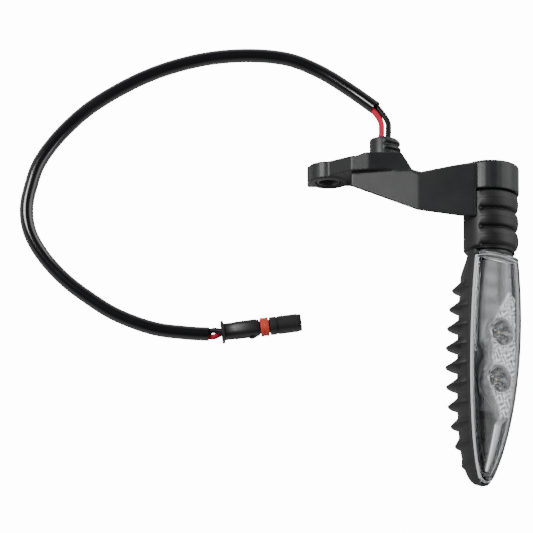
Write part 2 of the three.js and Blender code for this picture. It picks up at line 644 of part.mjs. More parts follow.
// A clear moulded optic that stands in the cup in front of its LED.
function optic(across, y) {
  const bottom = CUP_MOUTH - CUP_DEPTH + 0.8;
  const body = new THREE.LatheGeometry([
    new THREE.Vector2(0, 0), new THREE.Vector2(1.9, 0), new THREE.Vector2(3.2, 2.2),
    new THREE.Vector2(3.4, 2.8), new THREE.Vector2(2.2, 3.3), new THREE.Vector2(0, 3.6),
  ], 20);
  return body.rotateX(Math.PI / 2).translate(across, y, bottom);
}

lamp.add(piece('rear_housing', rearHousing(), 'blackPlastic'));
lamp.add(piece('lens', lens(), 'clearLens'));
lamp.add(piece('lens_gasket', lensGasket(), 'blackRubber'));
lamp.add(piece('reflector', reflector(), 'chrome'));
lamp.add(piece('bezel', bezel(), 'blackPlastic'));
lamp.add(piece('circuit_board', circuitBoard(), 'boardMask'));
lamp.add(piece('heat_spreader', heatSpreader(), 'aluminium'));
for (const [name, y] of Object.entries(SCREW_YS)) {
  lamp.add(piece(`board_screw_${name}`, boardScrew(y), 'aluminium'));
}
for (const { name, across, y } of CUPS) {
  lamp.add(piece(`led_${name}`, led(across, y), 'ledCeramic'));
  lamp.add(piece(`optic_${name}`, optic(across, y), 'clearLens'));
}
for (const [colour, side] of Object.entries(SIDES_OF)) {
  const pair = (side * WIRE_PITCH) / 2;
  const onBoard = BOARD_TOP + GAP + WIRE_RADIUS;
  const route = [
    [-pair * Math.sin(lamp.rotation.y), STEM_TOP - 1.5, pair * Math.cos(lamp.rotation.y)],
    [-pair, LAMP_TOP - 1.5, -1.7], [-pair * 1.3, LAMP_TOP - 5, -2.7],
    [-pair * 2.8, BOARD_FROM + 1, onBoard], [-pair * 3.6, BOARD_FROM - 3, onBoard],
    [-pair * 3.6, BOARD_FROM - 6, onBoard],
  ];
  lamp.add(piece(`lamp_lead_${colour}`, tube(route, WIRE_RADIUS, 8, 12), `${colour}Insulation`));
}

// ---- Cable and plug -------------------------------------------------------------------------------
assembly.add(piece('cable_sleeve', tube(SLEEVE_ROUTE, SLEEVE_RADIUS, 10, 40), 'glossVinyl'));

const plug = new THREE.Group();
plug.position.set(...PLUG_AT);
plug.rotation.z = THREE.MathUtils.degToRad(PLUG_TURN);
assembly.add(plug);

// A bar along X with a rounded square section.
function barX(radius, from, to, roundness = 0.55) {
  const corner = radius * roundness;
  const shape = new THREE.Shape();
  const flat = radius - corner;
  const middles = [[flat, flat, 0], [-flat, flat, 90], [-flat, -flat, 180], [flat, -flat, 270]];
  middles.forEach(([x, y, start], i) => {
    const angle = THREE.MathUtils.degToRad(start);
    if (i === 0) shape.moveTo(x + corner, y);
    shape.absarc(x, y, corner, angle, angle + Math.PI / 2, false);
  });
  const options = { depth: to - from, bevelEnabled: false, curveSegments: 4 };
  return new THREE.ExtrudeGeometry(shape, options).rotateY(Math.PI / 2).translate(from, 0, 0);
}

const bodyEnd = PLUG_BODY.length;
const sealEnd = bodyEnd + PLUG_SEAL.length;
const noseEnd = sealEnd + PLUG_NOSE.length;

function rodX(radius, from, to, z, sides) {
  const rod = new THREE.CylinderGeometry(radius, radius, to - from, sides);
  return rod.rotateZ(-Math.PI / 2).translate((from + to) / 2, 0, z);
}

function plugBody() {
  const seat = PLUG_SEAL.radius - 1.1;
  let body = solid(barX(PLUG_FLANGE.radius, 0, PLUG_FLANGE.thickness, 0.35))
    .add(solid(barX(PLUG_BODY.radius, 0, bodyEnd)))
    .add(solid(barX(seat, bodyEnd - 1, sealEnd + 1)))
    .add(solid(barX(PLUG_NOSE.radius, sealEnd, noseEnd, 0.8)));
  for (const side of Object.values(SIDES_OF)) {
    const z = (side * PLUG_PITCH) / 2;
    body = body.subtract(solid(rodX(PLUG_CAVITY_RADIUS, -1, noseEnd + 1, z, 10)));
  }
  const latch = boxFromTo([9.5, -PLUG_BODY.radius - 0.6, -1.2], [12.4, 0, 1.2]);
  return geometryOf(body.add(solid(latch).subtract(solid(rodX(2, 8, 14, 0, 12)))));
}

function plugSeal() {
  const outer = solid(barX(PLUG_SEAL.radius + 0.1, bodyEnd + GAP, sealEnd - GAP));
  return geometryOf(outer.subtract(solid(barX(PLUG_SEAL.radius - 1.1 + GAP, bodyEnd - 1, sealEnd + 1))));
}

plug.add(piece('plug_body', plugBody(), 'blackPlastic'));
plug.add(piece('plug_ring_seal', plugSeal(), 'orangeSeal'));
for (const [colour, side] of Object.entries(SIDES_OF)) {
  const z = (side * PLUG_PITCH) / 2;
  const contact = rodX(PLUG_CAVITY_RADIUS - GAP, 6, noseEnd - 2.5, z, 8);
  plug.add(piece(`plug_contact_${colour}`, contact, 'brass'));
}

// The bare leads between the spigot and the sleeve, and between the sleeve and the plug.
for (const [colour, side] of Object.entries(SIDES_OF)) {
  const x = SPIGOT_X + (side * WIRE_PITCH) / 2;
  const start = SLEEVE_ROUTE[0];
  const lampEnd = [
    [x, spigotTop - 3, SPIGOT_Z], [x, spigotTop, SPIGOT_Z], [x + 0.2, spigotTop + 4, SPIGOT_Z - 0.8],
    [x - 0.3, spigotTop + 8, SPIGOT_Z - 2.1],
    [start[0] + 0.35 + side * 1.1, start[1] - 0.55 + side * 0.9, start[2] + 0.1],
  ];
  assembly.add(piece(`wire_lamp_end_${colour}`, tube(lampEnd, WIRE_RADIUS, 8, 8), `${colour}Insulation`));
  const last = SLEEVE_ROUTE[SLEEVE_ROUTE.length - 1];
  const z = PLUG_AT[2] + (side * PLUG_PITCH) / 2;
  const plugEnd = [
    [last[0] + 0.4, last[1], last[2] + side * 1.1],
    [last[0] + 2.4, last[1] + 0.1, (last[2] + z) / 2 + side * 0.5],
    [PLUG_AT[0] - GAP - 0.1, PLUG_AT[1], z],
  ];
  assembly.add(piece(`wire_plug_end_${colour}`, tube(plugEnd, WIRE_RADIUS, 8, 5), `${colour}Insulation`));
}

export default assembly;
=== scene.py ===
"""Looks for a motorcycle turn signal: finned LED lamp, flexible neck, bent arm and sleeved cable.

Lengths are in millimetres while a shape is worked out, and become metres in `to_metres`.
The lamp has a frame of its own: `across` the lens, `along` Y, and `out` through the lens.
"""
import math

import bmesh
import bpy
import numpy as np
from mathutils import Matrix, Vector


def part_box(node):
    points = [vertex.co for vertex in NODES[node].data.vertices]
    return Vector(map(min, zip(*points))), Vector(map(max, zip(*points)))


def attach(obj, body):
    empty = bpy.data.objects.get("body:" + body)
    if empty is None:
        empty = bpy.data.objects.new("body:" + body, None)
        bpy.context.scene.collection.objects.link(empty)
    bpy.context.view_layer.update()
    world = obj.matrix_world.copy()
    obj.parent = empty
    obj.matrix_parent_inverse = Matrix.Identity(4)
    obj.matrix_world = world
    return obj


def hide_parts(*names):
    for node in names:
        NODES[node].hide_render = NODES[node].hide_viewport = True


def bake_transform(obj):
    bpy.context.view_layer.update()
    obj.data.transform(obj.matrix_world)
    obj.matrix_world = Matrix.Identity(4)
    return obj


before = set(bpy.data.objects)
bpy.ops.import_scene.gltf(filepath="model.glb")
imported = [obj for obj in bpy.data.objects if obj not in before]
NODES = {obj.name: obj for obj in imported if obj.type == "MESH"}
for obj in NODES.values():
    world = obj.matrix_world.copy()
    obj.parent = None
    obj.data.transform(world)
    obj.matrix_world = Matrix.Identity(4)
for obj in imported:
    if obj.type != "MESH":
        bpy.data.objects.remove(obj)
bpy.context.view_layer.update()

# ---- Places taken from the frame, in millimetres ------------------------------------------------


def node_box(name):
    """The lowest and highest corners of a CAD node, in millimetres."""
    low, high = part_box(name)
    return np.array(low) * 1000, np.array(high) * 1000


NECK_LOW, NECK_HIGH = node_box("neck_boot")
HOUSING_LOW = node_box("rear_housing")[0]
ARM_HIGH = node_box("mounting_arm")[1]
BUSH_LOW, BUSH_HIGH = node_box("screw_bush")
GROMMET_LOW, GROMMET_HIGH = node_box("wire_grommet")

AXIS_X = (NECK_LOW[0] + NECK_HIGH[0]) / 2
AXIS_Z = (NECK_LOW[2] + NECK_HIGH[2]) / 2
NECK_RADIUS = (NECK_HIGH[0] - NECK_LOW[0]) / 2
LAMP_TOP = NECK_LOW[1] - 0.5
LAMP_LENGTH = LAMP_TOP - HOUSING_LOW[1]
LAMP_TURN = math.radians(40)

# ---- The lamp's own sizes, the same as in the CAD part -------------------------------------------
HALF_WIDTH = 10.8
TOP_HALF_WIDTH = 8.9
WIDEST = 0.35
RIM_RISE = 2.4
RIM_FALL = 6.8
BACK_DEPTH = 11.6
BACK_POWER = 3.0
LENS_RISE = 4.6
LENS_POWER = 2.4
WALL = 1.4
LENS_WALL = 1.6
LIP = 0.7
GAP = 0.3
FIN_COUNT = 10
FIN_PITCH = 6.9
FIN_FIRST = 6.9
FIN_HEIGHT = 3.6
FIN_PEAK = 3.6
FIN_REACH_UP = 6.7
FIN_REACH_DOWN = 6.1
BACK_TOP_SHARE = 0.62
BACK_FULL_AT = 0.11
CUP_YS = {"upper": -7.8, "lower": -25.0}
CUP_RADIUS = 5.0
CUP_WALL = 0.6
CUP_TO_LENS = 0.9
CUP_MOUTH = 2.3
CUP_DEPTH = 4.4
LED_HOLE_RADIUS = 1.7
LED_HALF = 1.3
DIE_HALF = 0.5
PACKAGE_TOP = CUP_MOUTH - 2.0
DIE_TOP = CUP_MOUTH - 1.85
FOLD_FROM_Y = -36.5
REFLECTOR_THICKNESS = 0.4
BOARD_TOP = -4.9

# ---- Camera: from above the lamp's tip, with a long lens -----------------------------------------
ELEVATION = math.radians(73)
VIEW_WIDTH = 186.2
LOOK_AT = np.array([-51.45, 18.3, 8.0])
LENS_MM = 960.0
SENSOR_MM = 36.0


def make_camera():
    """A camera on the line of sight, far enough for its lens to take in VIEW_WIDTH."""
    data = bpy.data.cameras.new("camera")
    data.lens = LENS_MM
    data.sensor_width = SENSOR_MM
    camera = bpy.data.objects.new("camera", data)
    bpy.context.scene.collection.objects.link(camera)
    back = Vector((0, -math.cos(ELEVATION), math.sin(ELEVATION)))
    distance = VIEW_WIDTH * LENS_MM / SENSOR_MM / 1000
    camera.location = Vector(LOOK_AT / 1000) + back * distance
    camera.rotation_mode = "QUATERNION"
    camera.rotation_quaternion = (-back).to_track_quat("-Z", "Y")
    data.clip_start = 0.05
    data.clip_end = 20
    bpy.context.scene.camera = camera


make_camera()

# ---- Mesh helpers ----------------------------------------------------------------------------------


def to_metres(points):
    """Millimetres to metres."""
    return np.asarray(points, float) / 1000


def from_lamp(across, along, out):
    """Lamp frame to row frame: across and out are turned about the lamp's long axis."""
    across, along, out = np.broadcast_arrays(across, along, out)
    x = AXIS_X + across * math.cos(LAMP_TURN) + out * math.sin(LAMP_TURN)
    z = AXIS_Z - across * math.sin(LAMP_TURN) + out * math.cos(LAMP_TURN)
    return np.stack([x, along, z], axis=-1)


def finish_mesh(name, mesh, sharp=40, weld=1e-6):
    """Merges doubles, turns the faces outwards, smooths all but sharp edges, and links the object."""
    work = bmesh.new()
    work.from_mesh(mesh)
    bmesh.ops.remove_doubles(work, verts=work.verts, dist=weld)
    bmesh.ops.dissolve_degenerate(work, edges=work.edges, dist=weld)
    bmesh.ops.recalc_face_normals(work, faces=work.faces)
    work.to_mesh(mesh)
    work.free()
    mesh.shade_smooth()
    mesh.set_sharp_from_angle(angle=math.radians(sharp))
    piece = bpy.data.objects.new(name, mesh)
    bpy.context.scene.collection.objects.link(piece)
    return piece


def skin(name, points, around=True, caps=True, keep=None, sharp=40):
    """A mesh over a grid of points (rows along, columns around), in millimetres.

    around joins the last column to the first; caps closes the first and last rows; keep is a mask
    of the quads that stay.
    """
    rows, columns = points.shape[:2]
    index = np.arange(rows * columns).reshape(rows, columns)
    here = index if around else index[:, :-1]
    there = np.roll(index, -1, axis=1) if around else index[:, 1:]
    quads = np.stack([here[:-1], there[:-1], there[1:], here[1:]], axis=-1)
    quads = quads.reshape(-1, 4) if keep is None else quads[keep]
    faces = quads.tolist()
    if caps:
        faces += [index[0][::-1].tolist(), index[-1].tolist()]
    mesh = bpy.data.meshes.new(name)
    mesh.from_pydata(to_metres(points).reshape(-1, 3).tolist(), [], faces)
    return finish_mesh(name, mesh, sharp)


def smooth_path(points, count):
    """A Catmull-Rom line through given points, as count points evenly spread by length."""
    points = np.asarray(points, float)
    ends = np.vstack([2 * points[0] - points[1], points, 2 * points[-1] - points[-2]])
    t = np.linspace(0, len(points) - 1, 40 * len(points))
    i = np.minimum(t.astype(int), len(points) - 2)
    u = (t - i)[:, None]
    a, b, c, d = ends[i], ends[i + 1], ends[i + 2], ends[i + 3]
    line = 0.5 * (2 * b + (c - a) * u + (2 * a - 5 * b + 4 * c - d) * u**2 + (3 * b - a - 3 * c + d) * u**3)
    along = np.concatenate([[0], np.cumsum(np.linalg.norm(np.diff(line, axis=0), axis=1))])
    even = np.linspace(0, along[-1], count)
    return np.stack([np.interp(even, along, line[:, k]) for k in range(3)], axis=-1)


def frames_along(line):
    """Sideways and upward unit vectors square to a line that never stands upright."""
    tangent = np.gradient(line, axis=0)
    tangent /= np.linalg.norm(tangent, axis=1, keepdims=True)
    side = np.cross(tangent, [0, 0, 1.0])
    side /= np.linalg.norm(side, axis=1, keepdims=True)
    return side, np.cross(side, tangent)


def hose(name, line, radii, sides=28):
    """A round tube about a line: centre + radius (cos side + sin up) at every point of the line."""
    side, up = frames_along(line)
    angle = np.linspace(0, 2 * np.pi, sides, endpoint=False)[None, :, None]
    ring = np.cos(angle) * side[:, None] + np.sin(angle) * up[:, None]
    points = line[:, None] + np.asarray(radii, float)[:, None, None] * ring
    return skin(name, points)


def rounded_copy(name, node, voxel, passes):
    """A copy of a CAD node's surface, rebuilt on an even grid and relaxed so that its edges are round."""
    mesh = NODES[node].data.copy()
    piece = finish_mesh(name + "_blank", mesh, weld=2e-6)
    remesh = piece.modifiers.new("even_grid", "REMESH")
    remesh.mode = "VOXEL"
    remesh.voxel_size = voxel / 1000
    relax = piece.modifiers.new("relax", "SMOOTH")
    relax.factor = 0.5
    relax.iterations = passes
    depsgraph = bpy.context.evaluated_depsgraph_get()
    made = bpy.data.meshes.new_from_object(piece.evaluated_get(depsgraph))
    bpy.data.objects.remove(piece)
    made.name = name
    made.materials.clear()
    made.shade_smooth()
    piece = bpy.data.objects.new(name, made)
    bpy.context.scene.collection.objects.link(piece)
    return piece


# ---- Shader groups and materials -------------------------------------------------------------------


def new_group(name, inputs, outputs):
    """An empty shader group with float inputs (name: default) and outputs (name: type)."""
    group = bpy.data.node_groups.new(name, "ShaderNodeTree")
    for label, default in inputs.items():
        socket = group.interface.new_socket(label, in_out="INPUT", socket_type="NodeSocketFloat")
        socket.default_value = default
    for label, kind in outputs.items():
        group.interface.new_socket(label, in_out="OUTPUT", socket_type=kind)
    return group, group.nodes.new("NodeGroupInput"), group.nodes.new("NodeGroupOutput")


def noise_node(tree, detail):
    """A noise texture with the given detail."""
    node = tree.nodes.new("ShaderNodeTexNoise")
    node.inputs["Detail"].default_value = detail
    return node


def mould_grain_group():
    """Fine moulded grain as a height, and a slow cloudy mask for colour and gloss changes."""
    results = {"Height": "NodeSocketFloat", "Cloud": "NodeSocketFloat"}
    group, given, result = new_group("mould_grain", {"Grain": 2500.0, "Clouds": 60.0}, results)
    place = group.nodes.new("ShaderNodeTexCoord")
    fine = noise_node(group, 2.0)
    slow = noise_node(group, 4.0)
    group.links.new(place.outputs["Object"], fine.inputs["Vector"])
    group.links.new(place.outputs["Object"], slow.inputs["Vector"])
    group.links.new(given.outputs["Grain"], fine.inputs["Scale"])
    group.links.new(given.outputs["Clouds"], slow.inputs["Scale"])
    group.links.new(fine.outputs["Fac"], result.inputs["Height"])
    group.links.new(slow.outputs["Fac"], result.inputs["Cloud"])
    return group


def worn_edge_group():
    """A mask that is 1 on outer edges, broken up by noise: pointiness above a level, times noise."""
    settings = {"Level": 0.53, "Breakup": 350.0}
    group, given, result = new_group("worn_edge", settings, {"Mask": "NodeSocketFloat"})
    shape = group.nodes.new("ShaderNodeNewGeometry")
    place = group.nodes.new("ShaderNodeTexCoord")
    rough = noise_node(group, 5.0)
    over = group.nodes.new("ShaderNodeMath")
    over.operation = "SUBTRACT"
    gain = group.nodes.new("ShaderNodeMath")
    gain.operation = "MULTIPLY"
    gain.use_clamp = True
    gain.inputs[1].default_value = 14.0
    broken = group.nodes.new("ShaderNodeMath")
    broken.operation = "MULTIPLY"
    group.links.new(shape.outputs["Pointiness"], over.inputs[0])
    group.links.new(given.outputs["Level"], over.inputs[1])
    group.links.new(over.outputs[0], gain.inputs[0])
    group.links.new(place.outputs["Object"], rough.inputs["Vector"])
    group.links.new(given.outputs["Breakup"], rough.inputs["Scale"])
    group.links.new(gain.outputs[0], broken.inputs[0])
    group.links.new(rough.outputs["Fac"], broken.inputs[1])
    group.links.new(broken.outputs[0], result.inputs["Mask"])
    return group


MOULD_GRAIN = mould_grain_group()
WORN_EDGE = worn_edge_group()


def use_group(tree, group, **values):
    """A copy of a shader group in a node tree, with its inputs set."""
    node = tree.nodes.new("ShaderNodeGroup")
    node.node_tree = group
    for label, value in values.items():
        node.inputs[label].default_value = value
    return node


def mix_colour(tree, mask, first, second):
    """A colour that runs from first to second with the mask."""
    node = tree.nodes.new("ShaderNodeMix")
    node.data_type = "RGBA"
    node.inputs["A"].default_value = (*first, 1)
    node.inputs["B"].default_value = (*second, 1)
    tree.links.new(mask, node.inputs["Factor"])
    return node.outputs["Result"]


def spread(tree, mask, low, high):
    """The mask's 0.3 to 0.7 stretched over low to high."""
    node = tree.nodes.new("ShaderNodeMapRange")
    node.inputs["From Min"].default_value = 0.3
    node.inputs["From Max"].default_value = 0.7
    node.inputs["To Min"].default_value = low
    node.inputs["To Max"].default_value = high
    tree.links.new(mask, node.inputs["Value"])
    return node.outputs["Result"]


MATERIALS = {}


def new_material(name):
    """A node material, kept in MATERIALS under this name even if the CAD model has one of that name."""
    material = bpy.data.materials.new(name)
    material.use_nodes = True
    MATERIALS[name] = material
    return material


def moulded(name, dark, light, rough, grain, bump, worn=None, coat=0.0, specular=0.5):
    """A moulded or drawn surface: cloudy colour and gloss, fine grain bump and paler worn edges."""
    material = new_material(name)
    tree = material.node_tree
    shader = tree.nodes["Principled BSDF"]
    texture = use_group(tree, MOULD_GRAIN, Grain=grain)
    colour = mix_colour(tree, texture.outputs["Cloud"], dark, light)
    if worn is not None:
        edge = use_group(tree, WORN_EDGE)
        paler = tree.nodes.new("ShaderNodeMix")
        paler.data_type = "RGBA"
        paler.inputs["B"].default_value = (*worn, 1)
        tree.links.new(edge.outputs["Mask"], paler.inputs["Factor"])
        tree.links.new(colour, paler.inputs["A"])
        colour = paler.outputs["Result"]
    tree.links.new(colour, shader.inputs["Base Color"])
    tree.links.new(spread(tree, texture.outputs["Cloud"], *rough), shader.inputs["Roughness"])
    relief = tree.nodes.new("ShaderNodeBump")
    relief.inputs["Strength"].default_value = bump
    relief.inputs["Distance"].default_value = 0.00005
    tree.links.new(texture.outputs["Height"], relief.inputs["Height"])
    tree.links.new(relief.outputs["Normal"], shader.inputs["Normal"])
    shader.inputs["Coat Weight"].default_value = coat
    shader.inputs["Coat Roughness"].default_value = 0.08
    shader.inputs["Specular IOR Level"].default_value = specular
    return material


def metal(name, dark, light, rough):
    """A metal: cloudy brightness and gloss with a fine grain."""
    material = moulded(name, dark, light, rough, 1800, 0.05)
    material.node_tree.nodes["Principled BSDF"].inputs["Metallic"].default_value = 1.0
    return material


def reflection_painted_metal(name, dark, light, rough, metallic):
    """A plated surface whose colour runs from dark to light with the mesh's own attribute of painted
    reflection and shade.
    """
    material = moulded(name, dark, dark, rough, 1500, 0.04)
    tree = material.node_tree
    shader = tree.nodes["Principled BSDF"]
    painted_reflection = tree.nodes.new("ShaderNodeAttribute")
    painted_reflection.attribute_name = "painted_reflection"
    colour = mix_colour(tree, painted_reflection.outputs["Fac"], dark, light)
    tree.links.new(colour, shader.inputs["Base Color"])
    shader.inputs["Metallic"].default_value = metallic
    return material


def clear(name, tint, rough, ior):
    """A clear moulding: full transmission, with a faint haze from slow changes in gloss."""
    material = new_material(name)
    tree = material.node_tree
    shader = tree.nodes["Principled BSDF"]
    shader.inputs["Base Color"].default_value = (*tint, 1)
    shader.inputs["Transmission Weight"].default_value = 1.0
    shader.inputs["IOR"].default_value = ior
    texture = use_group(tree, MOULD_GRAIN, Grain=900.0, Clouds=90.0)
    tree.links.new(spread(tree, texture.outputs["Cloud"], *rough), shader.inputs["Roughness"])
    return material


BLACK = (0.010, 0.0105, 0.011)
PLUG_BLACK = (0.010, 0.010, 0.011)
RUBBER_BLACK = (0.008, 0.008, 0.009)
VINYL_BLACK = (0.005, 0.005, 0.006)
LEAD_BLACK = (0.006, 0.006, 0.007)
LEAD_RED = (0.66, 0.012, 0.045)

# Colours run from the first to the second; then come the gloss range, the grain's scale and its height.
moulded("black_plastic", BLACK, (0.016, 0.017, 0.018), (0.34, 0.46), 2600, 0.35, (0.05, 0.052, 0.055))
moulded("arm_plastic", BLACK, (0.017, 0.018, 0.019), (0.36, 0.48), 2200, 0.5, (0.06, 0.062, 0.066))
moulded("plug_plastic", PLUG_BLACK, (0.016, 0.016, 0.018), (0.3, 0.42), 3200, 0.25, (0.06, 0.06, 0.06))
moulded("black_rubber", RUBBER_BLACK, (0.015, 0.015, 0.016), (0.44, 0.6), 1700, 0.5, (0.04, 0.04, 0.042))
metal("dark_steel", (0.10, 0.10, 0.105), (0.16, 0.16, 0.165), (0.3, 0.42))
moulded("gloss_vinyl", VINYL_BLACK, (0.009, 0.009, 0.010), (0.16, 0.26), 700, 0.2, coat=0.5)
moulded("orange_seal", (0.62, 0.045, 0.018), (0.74, 0.07, 0.03), (0.4, 0.52), 1600, 0.2)
moulded("red_insulation", LEAD_RED, (0.78, 0.03, 0.075), (0.42, 0.55), 1200, 0.12, specular=0.2)
moulded("black_insulation", LEAD_BLACK, (0.012, 0.012, 0.013), (0.42, 0.55), 1200, 0.12, specular=0.25)
# The chrome's colour is painted reflection: near black to near white along the painted reflection attribute.
reflection_painted_metal("chrome", (0.006, 0.006, 0.0065), (0.93, 0.94, 0.95), (0.2, 0.32), 0.35)
metal("aluminium", (0.55, 0.56, 0.58), (0.64, 0.65, 0.67), (0.35, 0.5))
metal("screw_steel", (0.48, 0.48, 0.5), (0.58, 0.58, 0.6), (0.25, 0.38))
metal("brass_contact", (0.56, 0.42, 0.18), (0.66, 0.5, 0.24), (0.22, 0.34))
moulded("board_mask", (0.012, 0.07, 0.03), (0.02, 0.10, 0.045), (0.25, 0.4), 2400, 0.15)
moulded("led_ceramic", (0.70, 0.55, 0.22), (0.80, 0.66, 0.30), (0.3, 0.45), 1400, 0.1)
moulded("led_package", (0.02, 0.02, 0.022), (0.035, 0.035, 0.04), (0.25, 0.4), 2400, 0.15)
clear("clear_lens", (0.97, 0.985, 0.99), (0.0, 0.025), 1.3)
clear("clear_optic", (0.97, 0.98, 0.985), (0.0, 0.03), 1.18)
# Near-white strip colour on the clear lens's edge: a painted highlight for light caught in the clear plastic.
moulded("painted_glint_lens_edge", (0.86, 0.88, 0.89), (0.93, 0.94, 0.95), (0.18, 0.3), 1500, 0.1)


def dress(piece, material):
    """Gives a piece one material in place of any that it has."""
    piece.data.materials.clear()
    piece.data.materials.append(MATERIALS[material])
    return piece


def settle(piece, body, material, replaces=()):
    """Gives a piece its material, body and the CAD nodes that it stands for."""
    dress(piece, material)
    if body is not None:
        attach(piece, body)
    if replaces:
        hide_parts(*replaces)
    return piece


# ---- Curves ------------------------------------------------------------------------------------------


def ease(t):
    """0 below 0, 1 above 1, and three t squared less two t cubed in between."""
    held = np.clip(t, 0, 1)
    return held * held * (3 - 2 * held)


def bump_at(value, middle, width):
    """1 at the middle, falling to 0 a few widths away: e to the minus square of the distance in widths."""
    return np.exp(-(((value - middle) / width) ** 2))


def hinge(value, width):
    """The integral of a soft step: 0 on one side, and the value itself on the other."""
    return width * np.log1p(np.exp(np.clip(value / width, -30, 30)))


# ---- Lamp outline, as functions of the share of its length from the top ------------------------------


def rim_half_width(share):
    """Half the width at the rim: a parabola above the widest place, and a rounded taper to the tip below."""
    towards_top = np.clip((WIDEST - share) / WIDEST, 0, 1)
    towards_tip = np.clip((share - WIDEST) / (1 - WIDEST), 0, 1)
    upper = HALF_WIDTH - (HALF_WIDTH - TOP_HALF_WIDTH) * towards_top**2
    lower = 0.9 + (HALF_WIDTH - 0.9) * (1 - towards_tip**2) ** 0.68
    return np.where(share < WIDEST, upper, lower)


def rim_height(share):
    """Height of the rim, which drops towards the tip by a power of the share."""
    return RIM_RISE - RIM_FALL * np.maximum(share, 0) ** 2.2


def back_depth(share):
    """Depth of the housing below the rim: it eases in from the top and closes round the tip."""
    at_top = BACK_TOP_SHARE + (1 - BACK_TOP_SHARE) * ease(share / BACK_FULL_AT)
    return 1.2 + (BACK_DEPTH - 1.2) * at_top * np.sqrt(np.clip(1 - share**8, 0, 1))


def lens_rise(share):
    """Height of the lens's dome above the rim, which closes round the tip."""
    return 0.6 + (LENS_RISE - 0.6) * np.sqrt(np.clip(1 - share**5, 0, 1))


def y_at(share):
    """Y at a share of the lamp's length."""
    return LAMP_TOP - LAMP_LENGTH * share


def share_at(y):
    """Share of the lamp's length at Y."""
    return (LAMP_TOP - y) / LAMP_LENGTH


def cup_across(y):
    """Cup's place across the lens: its wall stands CUP_TO_LENS inside the lens's inner oval."""
    share = share_at(y)
    above = np.maximum(0, (CUP_MOUTH - rim_height(share) - GAP) / (lens_rise(share) - LENS_WALL))
    room = (rim_half_width(share) - LENS_WALL) * (1 - above**LENS_POWER) ** (1 / LENS_POWER)
    return float(room - CUP_RADIUS - CUP_WALL - CUP_TO_LENS)


CUPS = {name: (cup_across(y), y) for name, y in CUP_YS.items()}


def half_oval(count, power):
    """(across, height) of half a superellipse, from across = 1 to -1, with height up."""
    angle = np.linspace(0, np.pi, count)
    across = np.cos(angle)
    return np.sign(across) * np.abs(across) ** (2 / power), np.sin(angle) ** (2 / power)


def fin_height(y):
    """Height of the fins along Y: a rounded tooth at each pitch, long above its tip and short below."""
    number = np.arange(FIN_COUNT)
    reach = np.where(number < FIN_PEAK, FIN_REACH_UP, FIN_REACH_DOWN)
    tall = FIN_HEIGHT * np.cos(np.pi / 2 * (number - FIN_PEAK) / reach)
    u = y[:, None] - (FIN_FIRST - FIN_PITCH * number)
    tooth = np.clip(1.12 - np.where(u > 0, u / 2.5, -u / 1.0), 0, 1)
    return (tall * tooth**1.1).max(axis=1)


def rear_housing():
    """Boat-shaped shell: outer superellipse plus fins, a flat lip, and an inner wall, closed at both ends."""
    y = np.concatenate([[LAMP_TOP] * 2, np.linspace(LAMP_TOP, HOUSING_LOW[1] + 0.02, 560), [HOUSING_LOW[1]]])
    fullness = np.ones(len(y))
    fullness[0] = 0.02
    share = share_at(y)[:, None]
    across, down = half_oval(96, BACK_POWER)
    fins = fin_height(y)[:, None] * np.clip(1.5 * down - 0.12, 0, 1)
    depth = (back_depth(share) + fins) * fullness[:, None]
    outer_across = across * (rim_half_width(share) + LIP + fins)
    outer_out = rim_height(share) - down * depth
    outer = from_lamp(outer_across, y[:, None], outer_out)
    inner_y = np.clip(y, HOUSING_LOW[1] + 2.2, LAMP_TOP - WALL)
    inner_share = share_at(inner_y)[:, None]
    across_in, down_in = half_oval(40, BACK_POWER)
    half_in = np.maximum(rim_half_width(inner_share) - WALL, 0.3)
    depth_in = np.maximum(back_depth(inner_share) - WALL, 0.3) * fullness[:, None]
    inner_out = rim_height(inner_share) - down_in * depth_in
    inner = from_lamp(-across_in * half_in, inner_y[:, None], inner_out)
    points = np.concatenate([outer, inner], axis=1)
    points[..., 2] = np.maximum(points[..., 2], 0.0)
    return skin("housing_shell", points, sharp=50)


def lens_shell():
    """Clear dome over the rim: outer superellipse dome and its inner wall, closed at both ends."""
    start, end = LAMP_TOP - 1.2, HOUSING_LOW[1] + 0.8
    turn = np.linspace(0, np.pi / 2, 14)[1:]
    run = np.linspace(0, 1, 150)
    y = start + (end - start) * (1 - (1 - run) ** 1.3)
    y = np.concatenate([np.full(len(turn), start), y])
    fullness = np.concatenate([np.sin(turn), np.ones(len(run))])
    fullness[0] = 0.02
    share = share_at(y)[:, None]
    across, up = half_oval(84, LENS_POWER)
    rise = lens_rise(share) * fullness[:, None]
    outer = from_lamp(across * rim_half_width(share), y[:, None], rim_height(share) + GAP + up * rise)
    inner_y = np.clip(y, end + 2.4, start - LENS_WALL)
    inner_share = share_at(inner_y)[:, None]
    half_in = np.maximum(rim_half_width(inner_share) - LENS_WALL, 0.3)
    rise_in = np.maximum(lens_rise(inner_share) - LENS_WALL, 0.2) * fullness[:, None]
    across_in, up_in = half_oval(56, LENS_POWER)
    inner = from_lamp(-across_in * half_in, inner_y[:, None], rim_height(inner_share) + GAP + up_in * rise_in)
    return skin("lens_shell", np.concatenate([outer, inner], axis=1), sharp=50)


def rim_strip(name, outside, inside, high, low, start, end):
    """A closed bead that follows the rim between two insets and two heights, all the way round."""
    turn = np.linspace(0, 2 * np.pi, 361)[:-1]
    middle, reach = (start + end) / 2, (start - end) / 2
    y = middle + reach * np.cos(turn)
    side = np.sign(np.sin(turn) + 1e-9)
    share = share_at(y)
    near_end = np.clip(np.minimum(start - y, y - end) / 1.2, 0, 1) ** 0.5
    loops = []
    for inset, height in ((outside, low), (outside, high), (inside, high), (inside, low)):
        half = np.maximum(rim_half_width(share) - inset, 0.1) * near_end
        pull = inset - outside
        loops.append(from_lamp(side * half, y - pull * np.cos(turn), rim_height(share) + height))
    points = np.stack(loops, axis=1)
    closed = np.concatenate([points, points[:1]], axis=0)
    return skin(name, closed, caps=False, sharp=60)


